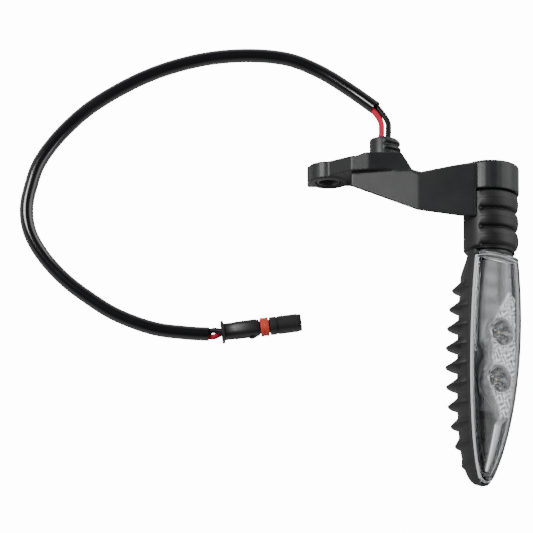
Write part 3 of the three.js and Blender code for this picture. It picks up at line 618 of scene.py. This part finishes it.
# Left edge of the chrome island around the two cups: (Y, across), from its upper tail to its lower tail.
ISLAND_EDGE = [
    (6.7, 6.0), (1.5, 2.6), (-3.6, -1.4), (-8.4, -2.8), (-14.0, -2.1), (-17.5, -1.4), (-19.5, -1.9),
    (-24.0, -4.0), (-27.8, -4.1), (-31.2, -2.1), (-34.3, 0.4), (-39.6, 2.6),
]


def island_edge(y):
    """Across, along Y: straight lines between the chosen points, rounded by a moving average."""
    place, across = np.array(ISLAND_EDGE[::-1]).T
    offsets = np.linspace(-2.0, 2.0, 9)
    return np.mean([np.interp(y + offset, place, across) for offset in offsets], axis=0)


def fold_across(y):
    """Across, along Y, of the straight fold near the lamp's tip."""
    return np.interp(-y, [38.0, 58.0], [2.8, 0.3])


def reflector_height(across, y):
    """Height of the chrome surface.

    Low ground that climbs to the right, with a flute near the top and a fold near the tip, meets a
    raised island with a rounded edge; two parabolic cups with radial facets are sunk in the island.
    """
    rim = rim_height(share_at(y))
    top = ease((y - 0.5) / 4)
    low = rim - 1.2 + (0.32 - 0.2 * top) * (across + 3)
    flute = 0.24 * (hinge(across - 1.6, 0.3) - hinge(across - 4.2, 0.3)) - 0.4 * hinge(across - 4.6, 0.4)
    low = low + top * flute
    low = low + 0.25 * bump_at(y, 1.0, 0.7) * top
    line = fold_across(y)
    fold = rim - 0.4 - 0.42 * hinge(line - across, 0.25) - 0.12 * hinge(across - line, 0.25)
    low = low + (fold - low) * ease((FOLD_FROM_Y - y) / 3)
    edge = island_edge(y)
    shown = ease((7.5 - y) / 3) * ease((y + 41) / 4)
    level = np.maximum(CUP_MOUTH - 0.25 - 1.3 * ease((-29 - y) / 9), rim + 0.1)
    ripple = np.cos(1.9 * across + 1.1 * y + np.cos(1.3 * y))
    beads = 0.05 * ripple * np.cos(1.7 * y - 1.2 * across + np.cos(across))
    level = level + beads
    inside = ease((across - edge) / 1.1 + 0.5) * shown
    surface = low + (level - low) * inside + 0.42 * shown * bump_at(across - edge, 0.35, 0.45)
    for cx, cy in CUPS.values():
        d = np.hypot(across - cx, y - cy)
        angle = np.arctan2(y - cy, across - cx)
        surface = surface + 0.3 * bump_at(d - CUP_RADIUS, 0.25, 0.35)
        facet = 0.22 * np.abs(np.cos(8 * angle)) * np.clip(d / CUP_RADIUS, 0, 1)
        step = 0.12 * np.abs(np.cos(np.pi * d / 0.9))
        dish = CUP_MOUTH - CUP_DEPTH + (CUP_DEPTH - 0.2) * (d / CUP_RADIUS) ** 2.2 - facet - step
        surface = np.where(d < CUP_RADIUS, np.minimum(surface, dish), surface)
    half = np.maximum(rim_half_width(share_at(y)) - LENS_WALL, 0.3)
    arch = (1 - np.clip(np.abs(across) / half, 0, 1) ** LENS_POWER) ** (1 / LENS_POWER)
    return np.minimum(surface, rim + GAP - 0.25 + arch * (lens_rise(share_at(y)) - LENS_WALL))


def painted_reflection_tone(across, y):
    """Painted reflection on the plating, 0 to 1: brightness that stands in for reflections and shade.

    A grey field with one darker upright band at the top, a painted dark strip of shade beside the bezel, a
    light island with a painted bright edge, painted rings and rays round each LED, and a light wedge right of
    a dark one near the tip, all painted reflection.
    """
    edge = island_edge(y)
    shown = ease((8.0 - y) / 3) * ease((y + 41) / 4)
    inside = ease((across - edge) / 0.5 + 0.5) * shown
    half = rim_half_width(share_at(y))
    painted_reflection = 0.20 + 0.06 * np.cos(1.1 * y) * bump_at(across, -1.0, 3.0) + 0.28 * ease((across - 3.5) / 4)
    painted_reflection = painted_reflection - 0.15 * bump_at(across, 1.9, 1.1) * ease((y + 1) / 6)
    painted_reflection = painted_reflection + (0.05 - painted_reflection) * ease((edge - across) / 1.0) * ease((-11 - y) / 3)
    # Painted shade: a dark strip along the bezel side.
    painted_reflection = painted_reflection * (0.06 + 0.94 * ease((across + half - 5.0) / 1.4))
    # Painted highlights beside the island's edge, level with each cup.
    painted_reflection = painted_reflection + 0.22 * bump_at(across, edge - 1.3, 0.8) * (bump_at(y, -8.6, 3.2) + bump_at(y, -26.5, 3.2))
    # Painted reflection near the tip: a dark wedge and a light wedge either side of the fold, with a bright
    # line on it.
    line = fold_across(y)
    wedge = 0.03 + (0.68 - 0.03) * ease((across - line) / 0.5 + 0.5) + 0.32 * bump_at(across, line + 0.3, 0.3)
    wedge = wedge + 0.10 * bump_at(across, -half + 5.0, 0.35)
    painted_reflection = painted_reflection + (wedge - painted_reflection) * ease((FOLD_FROM_Y - y) / 1.5)
    # Painted reflection speckle on the island, from warped cosines.
    warped = across + 0.9 * np.cos(1.3 * y + 0.7 * across)
    shifted = y + 0.9 * np.cos(1.7 * across - 0.6 * y)
    grain = np.cos(1.9 * warped + 1.1 * shifted) * np.cos(1.7 * shifted - 1.2 * warped)
    island = 0.55 + 0.5 * grain
    # Painted highlight along the island's edge.
    painted_reflection = painted_reflection + (island - painted_reflection) * inside + 1.2 * shown * bump_at(across, edge + 0.1, 0.55)
    for cx, cy in CUPS.values():
        d = np.hypot(across - cx, y - cy)
        angle = np.arctan2(y - cy, across - cx)
        # Painted reflection in each cup: rays, rings and a bright line round its rim.
        rays = np.cos(7 * angle + 1.5 * d)
        ring = np.cos(2 * np.pi * d / 2.1)
        dish = 0.62 + 0.6 * rays * np.clip(d / 2.5, 0, 1) * ease((4.7 - d) / 0.8) + 0.3 * ring
        painted_reflection = np.where(d < CUP_RADIUS, dish, painted_reflection) + 0.6 * bump_at(d, CUP_RADIUS + 0.1, 0.35)
        # Painted shade: a dark ring just inside each cup's rim.
        painted_reflection = painted_reflection - 0.8 * bump_at(d, CUP_RADIUS - 0.8, 0.4) * ease((across - cx + 3) / 4)
        # Painted shade: a dark patch over each LED.
        dark = ease((1.7 - np.abs(across - cx - 0.9)) / 0.6) * ease((2.6 - np.abs(y - cy)) / 0.6)
        painted_reflection = painted_reflection * (1 - dark)
    return np.clip(painted_reflection, 0, 1)


def reflector():
    """The chrome surface on an even grid, with a hole for each LED, given its thickness underneath."""
    y = np.linspace(LAMP_TOP - 2.0, y_at(0.94), 560)
    half = np.maximum(rim_half_width(share_at(y)) - 2.4, 0.4)
    across = np.linspace(-1, 1, 150)[None, :] * (half[:, None] + 0.45)
    ys = np.broadcast_to(y[:, None], across.shape)
    out = reflector_height(across, ys)
    points = from_lamp(across, ys, out)
    centre_across = (across[:-1, :-1] + across[1:, 1:]) / 2
    centre_y = (ys[:-1, :-1] + ys[1:, 1:]) / 2
    keep = np.ones(centre_y.shape, bool)
    for cx, cy in CUPS.values():
        keep &= np.hypot(centre_across - cx, centre_y - cy) > LED_HOLE_RADIUS
    piece = skin("chrome_reflector", points, around=False, caps=False, keep=keep, sharp=30)
    places = np.array([vertex.co for vertex in piece.data.vertices]) * 1000
    right, up = places[:, 0] - AXIS_X, places[:, 2] - AXIS_Z
    place_across = right * math.cos(LAMP_TURN) - up * math.sin(LAMP_TURN)
    # Painted reflection and shade, stored on the mesh for the chrome's colour.
    painted_reflection = piece.data.attributes.new("painted_reflection", "FLOAT", "POINT")
    painted_reflection.data.foreach_set("value", painted_reflection_tone(place_across, places[:, 1]).astype(np.float32))
    normal = Vector((math.sin(LAMP_TURN), 0, math.cos(LAMP_TURN)))
    mean = sum((p.normal * p.area for p in piece.data.polygons), Vector())
    if mean.dot(normal) < 0:
        piece.data.flip_normals()
    thick = piece.modifiers.new("thickness", "SOLIDIFY")
    thick.thickness = REFLECTOR_THICKNESS / 1000
    thick.offset = -1
    return piece


def bezel_band():
    """Dark band along the lamp's outer side, wider between the two cups and below them."""
    y = np.linspace(LAMP_TOP - 3.2, y_at(0.92), 260)
    share = share_at(y)
    half = np.maximum(rim_half_width(share) - 2.5, 0.4)
    width = 1.9 + 2.4 * bump_at(y, -17.3, 2.6) + 1.4 * bump_at(y, -33.6, 2.0)
    width = width * ease((half - 1) / 4)
    steps = np.linspace(0, 1, 9)[None, :]
    across = -half[:, None] + width[:, None] * steps
    high = rim_height(share)[:, None] + 0.1 - 0.9 * steps**1.5
    top = from_lamp(across, y[:, None], high)
    bottom = from_lamp(across[:, ::-1], y[:, None], high[:, ::-1] - 0.35)
    return skin("bezel_band", np.concatenate([top, bottom], axis=1), sharp=50)


def optic(name, across, y):
    """Clear ring in front of the LED; its radius dips by 9 % between eight facet corners."""
    profile = np.array([
        (1.5, -2.0), (2.0, -2.0), (3.1, 0.5), (3.2, 0.95), (2.9, 1.2), (2.3, 1.3), (1.6, 0.9), (1.5, -2.0),
    ]) + [0, CUP_MOUTH - 1.5]
    angle = np.linspace(0, 2 * np.pi, 96, endpoint=False)
    facet = 1 - 0.09 * np.abs(np.sin(4 * angle))
    radius = profile[:, :1] * np.where(profile[:, :1] > 2.1, facet[None, :], 1.0)
    first = across + radius * np.cos(angle)
    second = y + radius * np.sin(angle)
    out = np.broadcast_to(profile[:, 1:], first.shape)
    return skin(name, from_lamp(first, second, out), caps=False, sharp=25)


def stem():
    """The housing's hollow stem and flange inside the neck."""
    profile = np.array([
        (3.6, -0.6), (7.3, -0.6), (7.4, 0.15), (5.7, 0.2), (5.6, 2.1), (5.4, 2.2), (3.6, 2.2), (3.6, -0.6),
    ]) + [0, LAMP_TOP]
    angle = np.linspace(0, 2 * np.pi, 96, endpoint=False)
    radius = profile[:, :1]
    points = np.stack([AXIS_X + radius * np.cos(angle), np.broadcast_to(profile[:, 1:], (8, 96)),
                       AXIS_Z + radius * np.sin(angle)], axis=-1)
    return skin("housing_stem", points, caps=False)


def lamp_box(name, low, high, bevel=0.12):
    """A block in the lamp's frame with its edges bevelled."""
    corners = np.array([[x, y, z] for z in (low[2], high[2]) for x, y in
                        ((low[0], low[1]), (high[0], low[1]), (high[0], high[1]), (low[0], high[1]))])
    points = from_lamp(corners[:, 0], corners[:, 1], corners[:, 2]).reshape(2, 4, 3)
    piece = skin(name, points)
    edge = piece.modifiers.new("edge", "BEVEL")
    edge.width = bevel / 1000
    edge.segments = 2
    return piece


def build_lamp():
    """Housing, stem, lens, a near-white painted highlight strip on the lens edge, reflector, bezel, optics
    and LEDs, all on the lamp head.
    """
    settle(rear_housing(), "lamp_head", "black_plastic", replaces=["rear_housing"])
    settle(stem(), "lamp_head", "black_plastic")
    settle(lens_shell(), "lamp_head", "clear_lens", replaces=["lens"])
    # Painted highlight: an opaque near-white strip along the clear lens's rim.
    edge = rim_strip("painted_glint_lens_edge", -0.25, 0.2, GAP + 0.75, GAP - 0.25, LAMP_TOP - 1.0, HOUSING_LOW[1] + 0.7)
    settle(edge, "lamp_head", "painted_glint_lens_edge")
    settle(reflector(), "lamp_head", "chrome", replaces=["reflector"])
    settle(bezel_band(), "lamp_head", "black_plastic", replaces=["bezel"])
    for name, (across, y) in CUPS.items():
        ring = optic(f"clear_optic_{name}", across, y)
        settle(ring, "lamp_head", "clear_optic", replaces=[f"optic_{name}"])
        base = lamp_box(f"led_package_{name}", (across - LED_HALF, y - LED_HALF, BOARD_TOP + 0.3),
                        (across + LED_HALF, y + LED_HALF, PACKAGE_TOP))
        settle(base, "lamp_head", "led_package", replaces=[f"led_{name}"])
        die = lamp_box(f"led_die_{name}", (across - DIE_HALF, y - DIE_HALF, PACKAGE_TOP),
                       (across + DIE_HALF, y + DIE_HALF, DIE_TOP), 0.04)
        settle(die, "lamp_head", "led_ceramic")


# ---- Neck ------------------------------------------------------------------------------------------
GROOVE_PITCH = 6.7
GROOVES = 3
FLEX_TOP, FLEX_MIDDLE, FLEX_BOTTOM = 33.0, 26.5, 21.0


def neck_radius(y, aside):
    """Outer radius of the rubber stalk: rounded ribs between narrow grooves, softened at both ends.

    The grooves fade where `aside`, the sideways offset from the axis, is on the lamp's outer side.
    """
    grooves = NECK_HIGH[1] - GROOVE_PITCH * np.arange(1, GROOVES + 1)
    depth = sum(1.2 * bump_at(y, g, 0.6) for g in grooves)
    swell = 0.22 * np.cos(2 * np.pi * (y - grooves[0]) / GROOVE_PITCH)
    crease = 0.12 * np.exp(-((((y - grooves[0] + GROOVE_PITCH / 2) % GROOVE_PITCH) / 0.3) ** 2))
    ribbed = ease((aside + 4.6) / 1.4)
    ends = 0.6 * bump_at(y, NECK_HIGH[1], 0.4) + 0.9 * bump_at(y, NECK_LOW[1], 0.6)
    return NECK_RADIUS - 0.25 - (swell + depth + crease) * ribbed + 0.2 * (1 - ribbed) - ends


def neck_part(name, high, low):
    """One stretch of the stalk, outside and bore, closed at both ends."""
    y = np.linspace(high, low, int(18 * (high - low)))[:, None]
    angle = np.linspace(0, 2 * np.pi, 144, endpoint=False)[None, :]
    outside = neck_radius(y, NECK_RADIUS * np.cos(angle))
    bore = np.full((2, 144), 6.4)
    radius = np.concatenate([outside, bore, outside[:1]])
    place = np.concatenate([y, [[low], [high]], y[:1]])
    points = np.stack([AXIS_X + radius * np.cos(angle), np.broadcast_to(place, radius.shape),
                       AXIS_Z + radius * np.sin(angle)], axis=-1)
    return skin(name, points, caps=False, sharp=60)


def build_neck():
    """The rubber stalk in two stretches, each baked in place without a body."""
    upper = neck_part("neck_boot_upper", NECK_HIGH[1], FLEX_MIDDLE)
    settle(upper, None, "black_rubber", replaces=["neck_boot"])
    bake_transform(upper)
    lower = settle(neck_part("neck_boot_lower", FLEX_MIDDLE, NECK_LOW[1]), None, "black_rubber")
    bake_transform(lower)


# ---- Arm -------------------------------------------------------------------------------------------


def build_arm():
    """The arm's moulding with rounded edges, the ring in its screw hole and the lead grommet."""
    moulding = rounded_copy("arm_moulding", "mounting_arm", 0.32, 5)
    settle(moulding, "arm", "arm_plastic", replaces=["mounting_arm"])
    middle_x, middle_z = (BUSH_LOW[0] + BUSH_HIGH[0]) / 2, (BUSH_LOW[2] + BUSH_HIGH[2]) / 2
    outer = (BUSH_HIGH[0] - BUSH_LOW[0]) / 2
    low, high = BUSH_LOW[1], BUSH_HIGH[1]
    profile = [(outer - 0.9, low + 0.25), (outer - 0.7, low), (outer - 0.15, low), (outer, low + 0.15),
               (outer, high - 0.15), (outer - 0.15, high), (outer - 0.7, high), (outer - 0.9, high - 0.25),
               (outer - 0.9, low + 0.25)]
    radius, place = np.array(profile).T
    angle = np.linspace(0, 2 * np.pi, 72, endpoint=False)
    points = np.stack([middle_x + radius[:, None] * np.cos(angle), np.broadcast_to(place[:, None], (9, 72)),
                       middle_z + radius[:, None] * np.sin(angle)], axis=-1)
    settle(skin("bush_ring", points, caps=False), "arm", "dark_steel", replaces=["screw_bush"])
    grommet = rounded_copy("grommet_plug", "wire_grommet", 0.16, 3)
    settle(grommet, "arm", "black_rubber", replaces=["wire_grommet"])


# ---- Cable and plug --------------------------------------------------------------------------------
SLEEVE_ROUTE = [
    (-13.3, 76.9, 6.4), (-22.6, 84.4, 4.4), (-33.0, 91.5, 2.9), (-44.7, 96.2, 2.6),
    (-59.8, 97.4, 2.6), (-76.0, 95.5, 2.6), (-93.5, 89.8, 2.6), (-110.8, 80.0, 2.6),
    (-122.4, 69.7, 2.6), (-130.6, 58.8, 2.6), (-134.1, 49.0, 2.6), (-135.5, 40.5, 2.6),
    (-134.1, 32.1, 2.6), (-129.4, 23.6, 2.6), (-122.4, 15.6, 2.6), (-114.3, 9.0, 2.6),
    (-103.9, 2.3, 2.6), (-91.1, -2.6, 2.6), (-79.5, -4.3, 2.7), (-71.6, -4.9, 3.1),
]
SLEEVE_RADIUS = 2.42
SLEEVE_BORE = 2.0
WIRE_RADIUS = 1.0
PLUG_AT = np.array([-67.2, -4.5, 3.9])
PLUG_TURN = math.radians(7.5)
LEAD_PITCH = 2.5            # between the two leads at the plug


def cable_sleeve():
    """Hollow sleeve: the outside follows the route and turns in at both mouths to a short bore."""
    line = smooth_path(SLEEVE_ROUTE, 420)
    mouth = 6
    last = len(line) - 1
    start, end = np.arange(mouth, -1, -1), np.arange(last, last - mouth - 1, -1)
    order = np.concatenate([start, [0, 0], np.arange(0, last + 1), [last, last], end])
    bore = np.full(mouth + 1, SLEEVE_BORE)
    rounding = np.array([SLEEVE_BORE + 0.12, SLEEVE_RADIUS - 0.12])
    radii = np.concatenate([bore, rounding, np.full(last + 1, SLEEVE_RADIUS), rounding[::-1], bore])
    side, up = frames_along(line)
    angle = np.linspace(0, 2 * np.pi, 36, endpoint=False)[None, :, None]
    ring = np.cos(angle) * side[order][:, None] + np.sin(angle) * up[order][:, None]
    points = line[order][:, None] + radii[:, None, None] * ring
    return skin("sleeve", points), line


def wires(end):
    """The two leads at one end of the sleeve, as lists of points from the fixed end into the sleeve."""
    line = smooth_path(SLEEVE_ROUTE, 200)
    routes = {}
    for colour, sign in (("red", -1), ("black", 1)):
        if end == "lamp":
            x = (GROMMET_LOW[0] + GROMMET_HIGH[0]) / 2 + sign * 1.2
            z = (GROMMET_LOW[2] + GROMMET_HIGH[2]) / 2
            top = ARM_HIGH[1]
            inside = line[1] + sign * np.array([0.75, 0.65, 0.0])
            deeper = line[3] + sign * np.array([0.75, 0.65, 0.0])
            routes[colour] = [(x, top - 2.4, z), (x, top, z), (x + 0.2, top + 4, z - 0.8),
                              (x - 0.3, top + 8, z - 2.1), tuple(inside), tuple(deeper)]
        else:
            z = PLUG_AT[2] + sign * LEAD_PITCH / 2
            last, deep = line[-1], line[-3]
            routes[colour] = [(PLUG_AT[0] + 1.5, PLUG_AT[1] + 0.1, z), (PLUG_AT[0], PLUG_AT[1], z),
                              (last[0] + 2.0, last[1] + 0.1 + sign * 1.0, (last[2] + z) / 2 - sign * 0.2),
                              (last[0], last[1] + sign * 0.85, last[2] + sign * 0.4),
                              (deep[0], deep[1] + sign * 0.85, deep[2] + sign * 0.4)]
    return routes


def plug_frame(x, y, z):
    """Plug frame to row frame: x along the plug from its wire end, turned about Z."""
    x, y, z = np.broadcast_arrays(x, y, z)
    return np.stack([PLUG_AT[0] + x * math.cos(PLUG_TURN) - y * math.sin(PLUG_TURN),
                     PLUG_AT[1] + x * math.sin(PLUG_TURN) + y * math.cos(PLUG_TURN), PLUG_AT[2] + z], axis=-1)


def bar(name, stations, sides=72, y_off=0.0, z_off=0.0, sharp=35):
    """A bar along the plug whose section is a superellipse; stations are (x, radius, power)."""
    x, radius, power = np.asarray(stations, float).T
    angle = np.linspace(0, 2 * np.pi, sides, endpoint=False)
    c, s = np.cos(angle), np.sin(angle)
    y = np.sign(c) * np.abs(c) ** (2 / power[:, None]) * radius[:, None]
    z = np.sign(s) * np.abs(s) ** (2 / power[:, None]) * radius[:, None]
    return skin(name, plug_frame(x[:, None], y + y_off, z + z_off), sharp=sharp)


def build_plug():
    """The plug's body, ring seal, sockets and latch bump; gives back the body and the seal."""
    body = bar("plug_housing", [
        (0.0, 3.2, 3), (0.0, 3.55, 3.4), (0.12, 3.72, 3.6), (0.88, 3.72, 3.6), (1.0, 3.6, 3.4),
        (1.0, 3.0, 3.0), (1.1, 2.82, 3), (4.6, 2.82, 3), (4.8, 2.94, 3), (12.4, 2.94, 3.4),
        (12.6, 2.72, 3.2), (13.25, 2.72, 3.2), (13.4, 2.5, 3), (13.4, 2.2, 2.6), (17.0, 2.2, 2.6),
        (17.0, 2.9, 2.6), (17.15, 3.08, 2.6), (19.2, 3.12, 2.5), (19.35, 2.9, 2.5), (19.9, 2.9, 2.5),
        (20.05, 3.12, 2.5), (26.6, 3.12, 2.5), (26.8, 2.95, 2.5), (27.9, 2.9, 2.5), (28.15, 2.7, 2.5),
        (28.15, 2.35, 2.5), (26.9, 2.3, 2.5),
    ])
    settle(body, "arm", "plug_plastic", replaces=["plug_body"])
    seal = bar("seal_ring", [
        (13.75, 2.35, 2.6), (13.75, 3.0, 2.6), (14.0, 3.22, 2.6), (14.5, 3.26, 2.6), (14.85, 3.02, 2.6),
        (15.2, 3.24, 2.6), (15.6, 3.02, 2.6), (15.95, 3.26, 2.6), (16.4, 3.22, 2.6), (16.65, 3.0, 2.6),
        (16.65, 2.35, 2.6),
    ])
    settle(seal, "arm", "orange_seal", replaces=["plug_ring_seal"])
    for colour, sign in (("red", -1), ("black", 1)):
        funnel = [(24.0, 0.55, 2), (28.0, 0.95, 2), (28.0, 0.7, 2), (26.0, 0.62, 2)]
        socket = bar(f"plug_socket_{colour}", funnel, sides=32, z_off=sign * LEAD_PITCH / 2)
        settle(socket, "arm", "plug_plastic")
        dress(NODES[f"plug_contact_{colour}"], "brass_contact")
    shares = np.linspace(0, 1, 12)
    latch_stations = [
        (9.4 + 3.0 * t, 0.25 + 0.75 * math.sin(math.pi * min(1.0, t * 0.8 + 0.2)), 3.0) for t in shares
    ]
    latch = bar("plug_latch", latch_stations, sides=40, y_off=-2.75)
    settle(latch, "arm", "plug_plastic")
    return body, seal


def build_cable():
    """The sleeve, with the leads at both ends and the plug on its far end."""
    sleeve, line = cable_sleeve()
    settle(sleeve, "arm", "gloss_vinyl", replaces=["cable_sleeve"])
    for end in ("lamp", "plug"):
        for colour, route in wires(end).items():
            path = smooth_path(route, 60)
            wire = hose(f"lead_{end}_{colour}", path, np.full(60, WIRE_RADIUS), 24)
            settle(wire, "arm", f"{colour}_insulation", replaces=[f"wire_{end}_end_{colour}"])
    body, seal = build_plug()


# ---- Inner CAD nodes that keep their shape ---------------------------------------------------------
KEPT = {
    "neck_core": "black_rubber", "lens_gasket": "black_rubber", "circuit_board": "board_mask",
    "heat_spreader": "aluminium", "board_screw_upper": "screw_steel", "board_screw_lower": "screw_steel",
    "arm_lead_red": "red_insulation", "arm_lead_black": "black_insulation",
    "neck_lead_red": "red_insulation", "neck_lead_black": "black_insulation",
    "lamp_lead_red": "red_insulation", "lamp_lead_black": "black_insulation",
}

# ---- Stage -----------------------------------------------------------------------------------------


def area_light(name, place, size, power, target=(-0.02, 0.02, 0.0)):
    """A rectangular light, in metres and watts, that faces the target."""
    data = bpy.data.lights.new(name, "AREA")
    data.shape = "RECTANGLE"
    data.size, data.size_y = size
    data.energy = power
    light = bpy.data.objects.new(name, data)
    bpy.context.scene.collection.objects.link(light)
    light.location = place
    light.rotation_mode = "QUATERNION"
    light.rotation_quaternion = (Vector(target) - Vector(place)).to_track_quat("-Z", "Y")


def build_stage():
    """Pale floor that stays evenly white to the eye, a world that darkens overhead, and two soft lights."""
    reach = 3.0
    mesh = bpy.data.meshes.new("table_top")
    corners = [(-reach, -reach, 0), (reach, -reach, 0), (reach, reach, 0), (-reach, reach, 0)]
    mesh.from_pydata(corners, [], [(0, 1, 2, 3)])
    table = bpy.data.objects.new("table_top", mesh)
    bpy.context.scene.collection.objects.link(table)
    paper = bpy.data.materials.new("paper")
    paper.use_nodes = True
    tree = paper.node_tree
    surface = tree.nodes["Principled BSDF"]
    surface.inputs["Base Color"].default_value = (0.8, 0.8, 0.8, 1)
    surface.inputs["Roughness"].default_value = 0.9
    glow = tree.nodes.new("ShaderNodeEmission")
    glow.inputs["Strength"].default_value = 14.0
    seen = tree.nodes.new("ShaderNodeLightPath")
    mix = tree.nodes.new("ShaderNodeMixShader")
    tree.links.new(seen.outputs["Is Camera Ray"], mix.inputs["Fac"])
    tree.links.new(surface.outputs["BSDF"], mix.inputs[1])
    tree.links.new(glow.outputs["Emission"], mix.inputs[2])
    tree.links.new(mix.outputs["Shader"], tree.nodes["Material Output"].inputs["Surface"])
    mesh.materials.append(paper)
    world = bpy.data.worlds.new("studio")
    bpy.context.scene.world = world
    world.use_nodes = True
    sky = world.node_tree
    place = sky.nodes.new("ShaderNodeTexCoord")
    parts = sky.nodes.new("ShaderNodeSeparateXYZ")
    ramp = sky.nodes.new("ShaderNodeValToRGB")
    ramp.color_ramp.elements[0].position = 0.1
    ramp.color_ramp.elements[0].color = (1, 1, 1, 1)
    ramp.color_ramp.elements[1].position = 0.62
    ramp.color_ramp.elements[1].color = (0.10, 0.10, 0.11, 1)
    sky.links.new(place.outputs["Generated"], parts.inputs["Vector"])
    sky.links.new(parts.outputs["Z"], ramp.inputs["Fac"])
    sky.links.new(ramp.outputs["Color"], sky.nodes["Background"].inputs["Color"])
    sky.nodes["Background"].inputs["Strength"].default_value = 0.6
    area_light("key", (-0.62, 0.31, 0.72), (0.3, 0.4), 7.0)
    area_light("side", (0.90, 0.30, 0.30), (1.6, 1.2), 13.0)


build_cable()
build_arm()
build_neck()
build_lamp()
for node, material in KEPT.items():
    dress(NODES[node], material)
build_stage()

bpy.context.view_layer.update()
